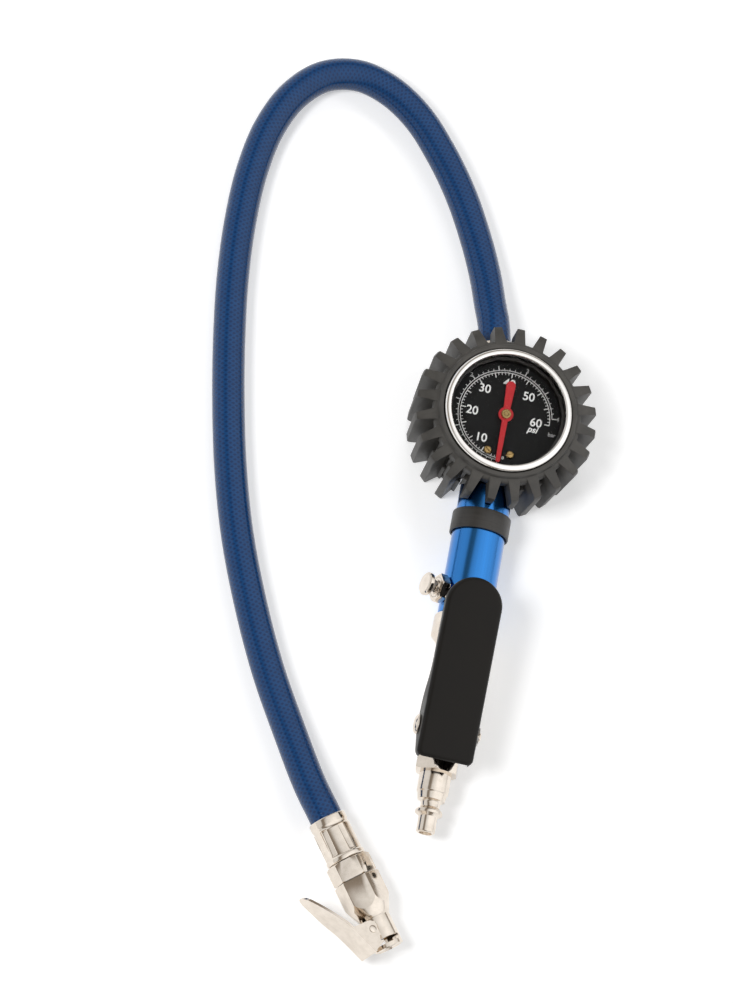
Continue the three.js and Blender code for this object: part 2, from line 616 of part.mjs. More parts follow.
function addDial(group) {
  const dialTop = CASE_TOP - DIAL_BELOW_RIM;
  const face = new THREE.Shape();
  face.absarc(0, 0, CASE_R - CASE_WALL - GAP, 0, 2 * Math.PI);
  const holes = [[0, 0, 1.5], [-DIAL_SCREW_X, DIAL_SCREW_Y, 1.3], [DIAL_SCREW_X, DIAL_SCREW_Y, 1.3]];
  for (const [x, y, r] of holes) {
    const hole = new THREE.Path();
    hole.absarc(x, y, r, 0, 2 * Math.PI, true);
    face.holes.push(hole);
  }
  piece(group, 'dial_plate', plate(face, dialTop - DIAL_THICK, dialTop, 14), dialBlack);

  const seat = dialTop - DIAL_THICK - GAP;
  for (const [name, side] of [['dial_screw_left', -1], ['dial_screw_right', 1]]) {
    const screw = solid(upright(turned([
      [0, seat - 3], [1, seat - 3], [1, dialTop + 0.2], [DIAL_SCREW_R, dialTop + 0.2],
      [DIAL_SCREW_R, dialTop + 0.7], [DIAL_SCREW_R - 0.5, dialTop + 1.05], [0, dialTop + 1.1],
    ], SMALL)));
    const slot = solid(box(-3, 3, -0.22, 0.22, dialTop + 0.65, dialTop + 2));
    piece(group, name, cut(screw, slot), brass)
      .position.set(side * DIAL_SCREW_X, DIAL_SCREW_Y, 0);
  }
}

function pointerOutline() {
  const shape = new THREE.Shape();
  shape.moveTo(-0.75, 0);
  shape.lineTo(-0.45, -POINTER_TIP + 0.6);
  shape.quadraticCurveTo(0, -POINTER_TIP - 0.4, 0.45, -POINTER_TIP + 0.6);
  shape.lineTo(0.75, 0);
  shape.lineTo(1.55, POINTER_TAIL - 1.6);
  shape.absarc(0, POINTER_TAIL - 1.6, 1.55, 0, Math.PI);
  return shape;
}

const SECTOR_R = PINION_R * GEAR_RATIO;
const SECTOR_PIVOT_DISTANCE = PINION_R + SECTOR_R;

function addPointer(group) {
  const dialTop = CASE_TOP - DIAL_BELOW_RIM;
  const bladeBottom = dialTop + 1.3;
  const bladeTop = bladeBottom + POINTER_THICK;
  const blade = solid(plate(pointerOutline(), bladeBottom, bladeTop));
  const hub = solid(upright(turned([
    [0, bladeBottom], [POINTER_HUB_R, bladeBottom], [POINTER_HUB_R, bladeTop + 0.1],
    [0, bladeTop + 0.1],
  ], SMALL)));
  const bore = solid(upright(rod(0.95, bladeBottom - 1, bladeTop + 2, TINY)));
  piece(group, 'pointer', cut(join(blade, hub), bore), pointerRed);

  const shaftBottom = MOVEMENT_FLOOR + 0.4;
  const bossTop = bladeTop + 0.7;
  const shaft = solid(upright(turned([
    [0, shaftBottom], [0.65, shaftBottom], [0.65, bladeTop + 0.35], [1.7, bladeTop + 0.35],
    [1.7, bossTop], [1.3, bossTop + 0.25], [0, bossTop + 0.25],
  ], SMALL)));
  const teeth = [];
  for (let i = 0; i < 10; i += 1) {
    teeth.push(solid(box(0, PINION_R + 0.15, -0.16, 0.16, GEAR_BOTTOM, GEAR_TOP)
      .rotateZ(radians(36 * i))));
  }
  const pinion = solid(upright(rod(PINION_R - 0.45, GEAR_BOTTOM, GEAR_TOP, TINY)));
  piece(group, 'pointer_shaft', join(shaft, pinion, ...teeth), brass);
}

function addMovement(group) {
  const px = SECTOR_PIVOT_DISTANCE * Math.cos(radians(SECTOR_ANGLE));
  const py = SECTOR_PIVOT_DISTANCE * Math.sin(radians(SECTOR_ANGLE));
  const plateShape = () => {
    const shape = new THREE.Shape();
    shape.absarc(0, -2, 9, radians(180), radians(360));
    shape.absarc(px * 0.6, py * 0.75, 8.4, radians(0), radians(150));
    for (const [x, y, r] of [[0, 0, 0.95], [px, py, 1.05]]) {
      const hole = new THREE.Path();
      hole.absarc(x, y, r, 0, 2 * Math.PI, true);
      shape.holes.push(hole);
    }
    return shape;
  };
  const lower = solid(plate(plateShape(), MOVEMENT_FLOOR, MOVEMENT_FLOOR + 1));
  const upper = solid(plate(plateShape(), MOVEMENT_CEILING - 1, MOVEMENT_CEILING));
  const pillars = [[-6.4, -4.5], [6.4, -4.5]].map(([x, y]) => solid(
    upright(rod(1.1, MOVEMENT_FLOOR + 0.5, MOVEMENT_CEILING - 0.5, TINY)).translate(x, y, 0)));
  piece(group, 'movement_frame', join(lower, upper, ...pillars), brass);

  // The sector swings about its own arbor; its toothed edge faces the pinion.
  const frame = new THREE.Group();
  frame.position.set(px, py, 0);
  frame.rotation.z = radians(SECTOR_ANGLE + 180);
  group.add(frame);
  const sweep = radians(26);
  const start = radians(-20);
  const sector = new THREE.Shape();
  const webR = SECTOR_R - 0.55;
  sector.moveTo(0, 0);
  sector.lineTo(webR * Math.cos(start - sweep), webR * Math.sin(start - sweep));
  sector.absarc(0, 0, webR, start - sweep, start + sweep);
  const web = solid(plate(sector, GEAR_BOTTOM, GEAR_TOP));
  const arbor = solid(upright(rod(0.75, MOVEMENT_FLOOR + 0.3, MOVEMENT_CEILING - 0.3, TINY)));
  const hub = solid(upright(rod(2, GEAR_BOTTOM - 0.8, GEAR_TOP + 0.8, TINY)));
  piece(frame, 'sector_gear', join(web, arbor, hub), brass);

  // C-shaped pressure tube from the socket, right round in front of the manifold.
  const tubeR = 19.8;
  const arc = new THREE.Shape();
  const from = radians(-62);
  const to = radians(190);
  arc.absarc(0, 0, tubeR + 1.1, from, to);
  arc.absarc(0, 0, tubeR - 1.1, to, from, true);
  piece(group, 'bourdon_tube', plate(arc, MOVEMENT_FLOOR + 0.6, MOVEMENT_FLOOR + 6.4, 14), brass);

  const seat = CASE_TOP - DIAL_BELOW_RIM - DIAL_THICK - GAP;
  const block = solid(box(-8, 8, -21.6, -12, MANIFOLD_R + GAP, seat));
  const screwHoles = [-1, 1].map((side) => solid(upright(rod(1.3, seat - 4, seat + 1, TINY))
    .translate(side * DIAL_SCREW_X, DIAL_SCREW_Y, 0)));
  piece(group, 'gauge_socket', cut(block, ...screwHoles), brass);
}

// ---------------------------------------------------------------- boot
function addBoot(group) {
  const rimIn = BEZEL_R + GAP;
  const rimOut = BEZEL_R + BOOT_RIM_WIDTH;
  const rimBottom = BEZEL_TOP - BEZEL_DEPTH - GAP;
  const lipTop = -MANIFOLD_R - 2 * GAP - CASE_BACK - GAP;
  const lipIn = CASE_R - 4.2;
  const shell = solid(upright(turned([
    [lipIn, BOOT_BOTTOM], [BOOT_OUT - 1, BOOT_BOTTOM], [BOOT_OUT, BOOT_BOTTOM + 1],
    [BOOT_OUT, rimBottom - 3], [rimOut, rimBottom + 1.6],
    [rimOut, BOOT_TOP - 2.8], [rimOut - 0.9, BOOT_TOP - 1.6], [rimOut - 1.7, BOOT_TOP - 1.5],
    [rimOut - 2.4, BOOT_TOP], [rimIn, BOOT_TOP], [rimIn, rimBottom], [BOOT_IN, rimBottom],
    [BOOT_IN, lipTop], [lipIn, lipTop], [lipIn, BOOT_BOTTOM],
  ], BOOT_FACETS)));

  // Lugs run the whole depth, with sloped front ends and a slight taper towards the back.
  const frontZ = BOOT_TOP - 1.7;
  const envelope = solid(upright(turned([
    [0, BOOT_BOTTOM], [LUG_TIP_R - 2.6, BOOT_BOTTOM], [LUG_TIP_R - 1.6, BOOT_BOTTOM + 1],
    [LUG_TIP_R, frontZ - 4.6], [LUG_TIP_R - 0.6, frontZ - 2.6], [rimOut - 0.4, frontZ], [0, frontZ],
  ], BOOT_FACETS)));
  const lugShape = outline([
    [BOOT_OUT - 2, -LUG_BASE_WIDTH / 2 - 0.4], [BOOT_OUT + BOOT_TREAD, -LUG_BASE_WIDTH / 2 + 0.3],
    [LUG_TIP_R - 0.6, -LUG_TIP_WIDTH / 2], [LUG_TIP_R + 1, -LUG_TIP_WIDTH / 2 + 0.5],
    [LUG_TIP_R + 1, LUG_TIP_WIDTH / 2 - 0.5], [LUG_TIP_R - 0.6, LUG_TIP_WIDTH / 2],
    [BOOT_OUT + BOOT_TREAD, LUG_BASE_WIDTH / 2 - 0.3], [BOOT_OUT - 2, LUG_BASE_WIDTH / 2 + 0.4],
  ]);
  const pitch = 360 / LUG_COUNT;
  const lugs = [];
  const pads = [];
  for (let i = 0; i < LUG_COUNT; i += 1) {
    lugs.push(solid(plate(lugShape, BOOT_BOTTOM, frontZ).rotateZ(radians(pitch * i))));
    // Stepped tread between the lugs: one pad high on one side, one low on the other.
    const padWidth = 2 * Math.PI * BOOT_OUT / LUG_COUNT / 2;
    const high = box(BOOT_OUT - 2, BOOT_OUT + BOOT_TREAD, 0, padWidth, -2, rimBottom - 3.6);
    const low = box(BOOT_OUT - 2, BOOT_OUT + BOOT_TREAD - 0.8, -padWidth, 0, BOOT_BOTTOM + 1.2, 2);
    for (const pad of [high, low]) {
      pads.push(solid(pad.rotateZ(radians(pitch * (i + 0.5)))));
    }
  }
  const tread = wasm.Manifold.union([...lugs, ...pads]).intersect(envelope);

  const tubeNotchR = TUBE_R + 0.9;
  const hoseNotchR = HOSE_R + FERRULE_WALL + 2 * GAP + 0.5;
  const notch = (radius, from, to) => join(
    solid(rod(radius, from, to, NOTCH_FACETS)),
    solid(box(-radius, radius, from, to, BOOT_BOTTOM - 1, 0)),
  );
  const hollow = solid(upright(rod(BOOT_IN, lipTop, BOOT_TOP + 1, BOOT_FACETS)));
  piece(group, 'gauge_boot', cut(
    join(shell, cut(tread, hollow)),
    notch(tubeNotchR, -LUG_TIP_R - 1, -CASE_R + 4),
    notch(hoseNotchR, CASE_R - 6, LUG_TIP_R + 1).rotate([0, 0, HOSE_EXIT]),
  ), blackRubber);
}

// ---------------------------------------------------------------- hose
function addHose(group) {
  const nutStart = CASE_R + 2.3;
  const ferruleR = HOSE_R + GAP + FERRULE_WALL;
  const sleeveEnd = HOSE_START + 3.6;
  piece(group, 'hose_sleeve', turned([
    [MANIFOLD_R + GAP, nutStart], [ferruleR - 0.6, nutStart], [ferruleR, nutStart + 0.6],
    [ferruleR, sleeveEnd - 0.4], [ferruleR - 0.4, sleeveEnd], [HOSE_R + GAP, sleeveEnd],
    [HOSE_R + GAP, HOSE_START - GAP], [MANIFOLD_R + GAP, HOSE_START - GAP],
    [MANIFOLD_R + GAP, nutStart],
  ], ROUND).rotateZ(radians(HOSE_EXIT)), nickel);
}

function addHoseRun(group) {
  const chuck = new THREE.Vector2(-Math.sin(radians(CHUCK_TURN)), Math.cos(radians(CHUCK_TURN)));
  const along = (distance) => new THREE.Vector3(
    CHUCK_START[0] + chuck.x * distance, CHUCK_START[1] + chuck.y * distance, CHUCK_Z);
  const points = [
    ...HOSE_STRAIGHT.map((out) => new THREE.Vector3(0, HOSE_START + out, AXIS_Z)
      .applyAxisAngle(new THREE.Vector3(0, 0, 1), radians(HOSE_EXIT))),
    ...HOSE_ROUTE.map(([x, y, z]) => new THREE.Vector3(x, y, z)),
    along(-4), along(3),
  ];
  const path = new THREE.CatmullRomCurve3(points, false, 'centripetal');
  const section = new THREE.Shape();
  section.absarc(0, 0, HOSE_R, 0, 2 * Math.PI);
  piece(group, 'hose', new THREE.ExtrudeGeometry(section, {
    extrudePath: path, steps: HOSE_STEPS, bevelEnabled: false, curveSegments: 5,
  }), hoseBlue);
}

// ---------------------------------------------------------------- chuck
// Chuck frame: +Y runs from the hose to the mouth, +X is the clip's side.
const NUT_START = FERRULE_LENGTH + GAP;
const BODY_START = NUT_START + CHUCK_NUT_LENGTH + GAP;
const MOUTH = BODY_START + CHUCK_LENGTH;
const CLIP_PIVOT = [CHUCK_BARREL_R + 1.1, MOUTH - 9.3];
const CLIP_HALF = CLIP_WIDTH / 2;
const LUG_HALF = CLIP_HALF - CLIP_SHEET - GAP;

function addChuckFittings(frame) {
  const ferruleR = HOSE_R + GAP + FERRULE_WALL;
  const socket = 3 + GAP;
  const body = solid(turned([
    [0, socket], [HOSE_R + GAP, socket], [HOSE_R + GAP, 0], [ferruleR - 0.3, 0],
    [ferruleR, 0.3], [ferruleR, 3.6], [ferruleR - 0.3, 4], [ferruleR - 0.3, 4.6],
    [ferruleR, 5], [ferruleR, FERRULE_LENGTH - 2.2], [ferruleR + 0.4, FERRULE_LENGTH - 1.8],
    [ferruleR + 0.4, FERRULE_LENGTH - 0.4], [ferruleR, FERRULE_LENGTH], [0, FERRULE_LENGTH],
  ], ROUND));
  const flutes = [];
  for (let i = 0; i < 6; i += 1) {
    const flute = new THREE.SphereGeometry(1, 8, 6).scale(2.3, 5.4, 1.5)
      .translate(0, (5 + FERRULE_LENGTH - 2.2) / 2, ferruleR + 0.45);
    flutes.push(solid(flute.rotateY(radians(60 * i))));
  }
  const airway = solid(rod(2.2, socket - 1, FERRULE_LENGTH + 1, SMALL));
  piece(frame, 'chuck_ferrule', cut(body, ...flutes, airway), nickel);

  const corner = CHUCK_NUT / 2 / Math.cos(Math.PI / 6);
  const nutEnd = NUT_START + CHUCK_NUT_LENGTH;
  const turnedNut = solid(turnedTube([
    [corner - 0.9, NUT_START], [corner + 0.1, NUT_START + 0.7], [corner + 0.1, nutEnd - 0.5],
    [corner - 0.6, nutEnd],
  ], 2.2, ROUND));
  const nut = solid(hexBar(CHUCK_NUT, NUT_START, nutEnd, radians(CHUCK_HEX_TURN))).intersect(turnedNut);
  piece(frame, 'chuck_nut', nut, nickel);
}

function addChuckBody(frame) {
  const hexEnd = BODY_START + CHUCK_HEX_LENGTH;
  const corner = CHUCK_HEX / 2 / Math.cos(Math.PI / 6);
  const barrel = solid(turned([
    [0, BODY_START + 2], [CHUCK_BARREL_R, BODY_START + 2], [CHUCK_BARREL_R, MOUTH - 0.4],
    [CHUCK_BARREL_R - 0.4, MOUTH], [0, MOUTH],
  ], ROUND));
  const taper = solid(turned([
    [0, BODY_START], [corner - 0.5, BODY_START], [corner + 0.1, BODY_START + 0.5],
    [corner + 0.1, hexEnd - 8.2], [corner - 0.9, hexEnd - 5.4], [corner - 2.4, hexEnd - 2],
    [CHUCK_BARREL_R, hexEnd], [0, hexEnd],
  ], ROUND));
  const hex = solid(hexBar(CHUCK_HEX, BODY_START, hexEnd, radians(CHUCK_HEX_TURN))).intersect(taper);
  const [pinX, pinY] = CLIP_PIVOT;
  const lug = solid(box(0, pinX + 2.2, pinY - 3.2, pinY + 3.2, -LUG_HALF, LUG_HALF));
  const springSlot = solid(box(pinX - 2.3, pinX + 3, pinY - 4, pinY + 4, -1.9, 1.9));
  const pinHole = solid(upright(rod(CLIP_PIN_R + GAP, -9, 9, TINY)).translate(pinX, pinY, 0));
  const boreStart = MOUTH - CHUCK_BORE_DEPTH;
  const bore = solid(turned([
    [0, boreStart], [CHUCK_BORE_R, boreStart], [CHUCK_BORE_R, MOUTH - CHUCK_LEAD_IN],
    [CHUCK_BORE_R + CHUCK_LEAD_IN, MOUTH], [CHUCK_BORE_R + CHUCK_LEAD_IN, MOUTH + 1], [0, MOUTH + 1],
  ]));
  const airway = solid(rod(2.2, BODY_START - 1, boreStart + 1, SMALL));
  const slotEnd = MOUTH - CHUCK_SLOT_FROM_MOUTH;
  const slot = solid(box(-3, CHUCK_BARREL_R + 1, slotEnd - CHUCK_SLOT, slotEnd, -10, 10));
  piece(frame, 'chuck_body', cut(join(barrel, hex, lug), springSlot, pinHole, bore, airway, slot),
    nickel);

  const discR = CHUCK_BORE_R - GAP;
  const discStart = boreStart + GAP;
  const disc = solid(turned([
    [0, discStart], [discR, discStart], [discR, discStart + 1.4], [1, discStart + 1.4],
    [1, MOUTH - 6.6], [0.6, MOUTH - 6.2], [0, MOUTH - 6.2],
  ], SMALL));
  const vents = [0, 120, 240].map((angle) => solid(rod(0.9, discStart - 1, discStart + 2, TINY)
    .translate(2.5, 0, 0).rotateY(radians(angle))));
  piece(frame, 'depressor_pin', cut(disc, ...vents), brass);
  piece(frame, 'chuck_seal', turnedTube([
    [discR, MOUTH - 10.2], [discR, MOUTH - 7.4],
  ], 1 + 0.7, SMALL), blackRubber);
}

function addClip(frame) {
  const [pinX, pinY] = CLIP_PIVOT;
  const slotMiddle = MOUTH - CHUCK_SLOT_FROM_MOUTH - CHUCK_SLOT + 0.4;
  const heel = [pinX + 2.9, MOUTH - 0.3];
  const knee = [pinX + 8.1, pinY - 3.4];
  const tip = [pinX + 21.4, pinY - 24.2];
  const bend = new THREE.SplineCurve([heel, knee, [pinX + 12.4, pinY - 10.6],
    [pinX + 17.4, pinY - 18.4], tip].map(([x, y]) => new THREE.Vector2(x, y)));
  const near = [];
  const far = [];
  for (let i = 0; i <= 10; i += 1) {
    const point = bend.getPoint(i / 10);
    const tangent = bend.getTangent(i / 10);
    const half = CLIP_SHEET / 2;
    near.push([point.x - tangent.y * half, point.y + tangent.x * half]);
    far.unshift([point.x + tangent.y * half, point.y - tangent.x * half]);
  }
  const strip = solid(plate(outline([...near, ...far]), -CLIP_HALF, CLIP_HALF));

  // The strip is full width at the ears and narrows to a rounded thumb tab.
  const width = new THREE.Shape();
  width.moveTo(MOUTH + 2, -CLIP_HALF);
  width.lineTo(pinY - 5, -CLIP_HALF);
  width.quadraticCurveTo(pinY - 12, -CLIP_HALF, tip[1] + 3, -2.9);
  width.quadraticCurveTo(tip[1] - 1.4, 0, tip[1] + 3, 2.9);
  width.quadraticCurveTo(pinY - 12, CLIP_HALF, pinY - 5, CLIP_HALF);
  width.lineTo(MOUTH + 2, CLIP_HALF);
  const trimmed = strip.intersect(solid(plate(width, -60, 60, 6).rotateY(Math.PI / 2)
    .rotateX(Math.PI / 2)));

  const ear = () => {
    const shape = new THREE.Shape();
    shape.moveTo(pinX - 2.7, pinY - 1.6);
    shape.quadraticCurveTo(pinX - 1.6, pinY - 3.9, pinX + 1, pinY - 3.9);
    shape.lineTo(knee[0], knee[1] - 0.3);
    shape.lineTo(heel[0], heel[1] - 0.4);
    shape.lineTo(pinX - 0.9, MOUTH - 2.4);
    const hole = new THREE.Path();
    hole.absarc(pinX, pinY, CLIP_PIN_R + GAP, 0, 2 * Math.PI, true);
    shape.holes.push(hole);
    return shape;
  };
  const top = solid(plate(ear(), CLIP_HALF - CLIP_SHEET, CLIP_HALF, 6));
  const bottom = solid(plate(ear(), -CLIP_HALF, -CLIP_HALF + CLIP_SHEET, 6));
  const jaw = solid(box(3.6, heel[0] + 1.4, slotMiddle, slotMiddle + 1, -4.2, 4.2));
  const throat = solid(rod(3.9, slotMiddle - 1, slotMiddle + 2, SMALL));
  piece(frame, 'chuck_clip', join(trimmed, top, bottom, cut(jaw, throat)), nickel);

  piece(frame, 'clip_pin', upright(turned([
    [0, -CLIP_HALF - 0.5], [CLIP_PIN_R, -CLIP_HALF - 0.5], [CLIP_PIN_R, CLIP_HALF + 0.5],
    [0, CLIP_HALF + 0.5],
  ], TINY)).translate(pinX, pinY, 0), nickel);
  piece(frame, 'clip_spring', upright(coil(1.65, 0.3, -1.6, 1.6, 3)).translate(pinX, pinY, 0),
    springSteel);
}

function addChuck(group) {
  const frame = new THREE.Group();
  frame.position.set(CHUCK_START[0], CHUCK_START[1], CHUCK_Z);
  frame.rotation.set(0, radians(CHUCK_ROLL), radians(CHUCK_TURN), 'ZYX');
  group.add(frame);
  addChuckFittings(frame);
  addChuckBody(frame);
  addClip(frame);
}

// ---------------------------------------------------------------- the whole tool
const inflator = new THREE.Group();
inflator.position.set(0, GAUGE_Y, 0);

const handle = new THREE.Group();
handle.position.set(0, 0, AXIS_Z);
inflator.add(handle);
addTube(handle);
addHousing(handle);
addInletPlug(handle);
addValve(handle);
addLever(handle);
addLeverPin(handle);
addBleedValve(handle);
addGaugeBody(handle);
addDial(handle);
addPointer(handle);
addMovement(handle);
addBoot(handle);
addHose(handle);

addHoseRun(inflator);
addChuck(inflator);

export default inflator;
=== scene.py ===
"""Visual model of a hand-held tyre inflator with a dial gauge, a hose and a clip-on chuck."""

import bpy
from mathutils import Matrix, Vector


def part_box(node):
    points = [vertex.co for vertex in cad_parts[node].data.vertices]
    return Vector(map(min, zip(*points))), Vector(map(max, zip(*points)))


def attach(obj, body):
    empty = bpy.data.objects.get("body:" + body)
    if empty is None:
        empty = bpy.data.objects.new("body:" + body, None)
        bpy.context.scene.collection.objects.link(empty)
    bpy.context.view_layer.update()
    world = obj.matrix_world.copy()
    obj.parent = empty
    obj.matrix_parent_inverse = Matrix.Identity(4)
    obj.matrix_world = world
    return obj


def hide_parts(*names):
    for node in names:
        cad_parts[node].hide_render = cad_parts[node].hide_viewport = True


bl_info = {
    "name": "Tyre inflator with gauge",
    "version": (1, 0, 0),
    "blender": (4, 5, 0),
    "location": "View3D > Sidebar > Inflator",
    "description": "Builds the pieces and finishes of a tyre inflator round its packed frame",
    "category": "Object",
}

import math

import bmesh
import bpy
from bpy.props import FloatProperty, FloatVectorProperty, PointerProperty
from bpy.types import Operator, Panel, PropertyGroup
from mathutils import Matrix, Vector

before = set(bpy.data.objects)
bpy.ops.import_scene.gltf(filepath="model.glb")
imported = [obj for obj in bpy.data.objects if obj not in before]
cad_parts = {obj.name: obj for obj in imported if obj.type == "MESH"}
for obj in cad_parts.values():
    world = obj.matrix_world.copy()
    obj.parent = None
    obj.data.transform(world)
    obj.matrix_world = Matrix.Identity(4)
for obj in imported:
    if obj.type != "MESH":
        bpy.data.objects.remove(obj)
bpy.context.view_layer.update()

MM = 0.001
GAUGE_Y = 71.4
AXIS_Z = 12.9
PI = math.pi

# Heights and lengths on the tool, in millimetres from the gauge's centre on the handle's axis.
TUBE_TOP, TUBE_END = -27.8, -87.8
HOUSING_TOP, HOUSING_END = -88.1, -147.9
VALVE_Y, PIVOT_Y, PIVOT_Z = -118.0, -140.0, 10.0
BLEED_Y = -78.5
PLUG_TOP, PLUG_TIP = -149.5, -182.3
CASE_R, CASE_TOP, BEZEL_TOP, BEZEL_R = 25.2, 17.8, 23.6, 27.5
DIAL_TOP = 14.7
BLADE_TOP = 16.6
LUG_R = 39.5
MOUTH = 59.5
CLIP_PIVOT = (7.4, 50.2)
CHUCK_NUT_START, CHUCK_BODY_START = 19.5, 28.0

HANDLE = Matrix.Translation((0, GAUGE_Y, AXIS_Z))
CHUCK = (Matrix.Translation((-41.1, -184.4 + GAUGE_Y, 9.95))
         @ Matrix.Rotation(math.radians(-143.3), 4, "Z")
         @ Matrix.Rotation(math.radians(-20), 4, "Y"))
ALONG_Y = Matrix.Rotation(-PI / 2, 4, "X")
ALONG_LEFT = Matrix.Rotation(-PI / 2, 4, "Y")
HOSE_EXIT = math.radians(12)
BLEED = HANDLE @ Matrix.Translation((0, BLEED_Y, 0)) @ Matrix.Rotation(math.radians(20), 4, "Y")
LEVER = (HANDLE @ Matrix.Translation((0, PIVOT_Y, PIVOT_Z))
         @ Matrix.Rotation(math.radians(5.6), 4, "X"))

# The hose's line: across, along and up from the gauge's centre on the floor. It starts straight
# out of the port.
HOSE_PORT = [33.3, 37.3, 40.3]
HOSE_ROUTE = [
    *[(-out * math.sin(HOSE_EXIT), out * math.cos(HOSE_EXIT), AXIS_Z) for out in HOSE_PORT],
    (-9.9, 46.2, 12.4), (-12.5, 54.7, 10.8), (-17, 69.3, 8.6), (-24, 86, 7.4),
    (-34, 104.7, 7.15), (-46.3, 122, 7.15), (-59, 135.8, 7.15), (-73.4, 145, 7.15),
    (-88, 148.4, 7.15), (-102.6, 144.2, 7.15), (-114.2, 132, 7.15), (-121.8, 114.3, 7.15),
    (-125.5, 92, 7.15), (-126, 68, 7.15), (-124.3, 42, 7.15), (-120.8, 16, 7.15),
    (-115.8, -12, 7.15), (-109, -42.5, 7.15), (-100.6, -71, 7.15), (-89.4, -99.5, 7.15),
    (-76.4, -127, 7.15), (-62.4, -151.4, 7.5), (-50.8, -171, 9.1),
]


# ------------------------------------------------------------------ sizes and colours
def length(name, description, default, low=0.0, high=1.0):
    return FloatProperty(name=name, description=description, default=default, min=low, max=high,
                         unit="LENGTH", subtype="DISTANCE", precision=5)


def colour(name, description, default):
    return FloatVectorProperty(name=name, description=description, default=default, size=3,
                               min=0.0, max=1.0, subtype="COLOR")


class InflatorSizes(PropertyGroup):
    hose_diameter: length("Hose", "Outside diameter of the hose", 0.014)
    braid_pitch: length("Braid pitch", "Spacing of the hose's yarns along it", 0.0021)
    band_width: length("Band", "Width of the rubber band on the tube", 0.0092)
    lever_width: length("Lever", "Width of the lever", 0.024)
    lever_roll: length("Lever edge", "Radius of the lever's rolled edge", 0.0022)
    boot_edge: length("Boot edges", "Rounding of the boot's moulded edges", 0.00042)
    edge: length("Machined edges", "Rounding of machined edges", 0.0002)
    figure_height: length("Figures", "Height of the pressure scale's figures", 0.0037)
    tick_depth: length("Print", "Thickness of the dial's print", 0.00006)


class InflatorFinishes(PropertyGroup):
    hose: colour("Hose", "Clear-coated braided hose", (0.003, 0.029, 0.105))
    hose_yarn: colour("Yarn", "Yarn seen through the hose's cover", (0.007, 0.06, 0.19))
    tube: colour("Tube", "Blue anodising", (0.022, 0.215, 0.63))
    nickel: colour("Nickel", "Plated fittings", (0.79, 0.715, 0.63))
    nickel_dark: colour("Nickel shade", "Duller areas of the plating", (0.71, 0.635, 0.55))
    chrome: colour("Chrome", "Polished bezel", (0.92, 0.9, 0.87))
    lever: colour("Lever", "Satin black paint", (0.0085, 0.0075, 0.0065))
    boot: colour("Boot", "Moulded rubber", (0.042, 0.0395, 0.0355))
    boot_bloom: colour("Boot bloom", "Greyer bloom on the rubber", (0.078, 0.073, 0.066))
    band: colour("Band", "Rubber band on the tube", (0.022, 0.02, 0.018))
    brass: colour("Brass", "Screws and movement", (0.44, 0.3, 0.125))
    dial: colour("Dial", "Black dial", (0.008, 0.008, 0.008))
    print_white: colour("Print", "White scale and figures", (0.93, 0.93, 0.91))
    print_grey: colour("Fine print", "Thinner scale's figures", (0.5, 0.5, 0.49))
    pointer: colour("Pointer", "Red pointer", (0.55, 0.016, 0.022))
    floor: colour("Floor", "Pale floor", (0.8, 0.8, 0.8))


def sizes():
    return bpy.context.scene.inflator_sizes


def finishes():
    return bpy.context.scene.inflator_finishes


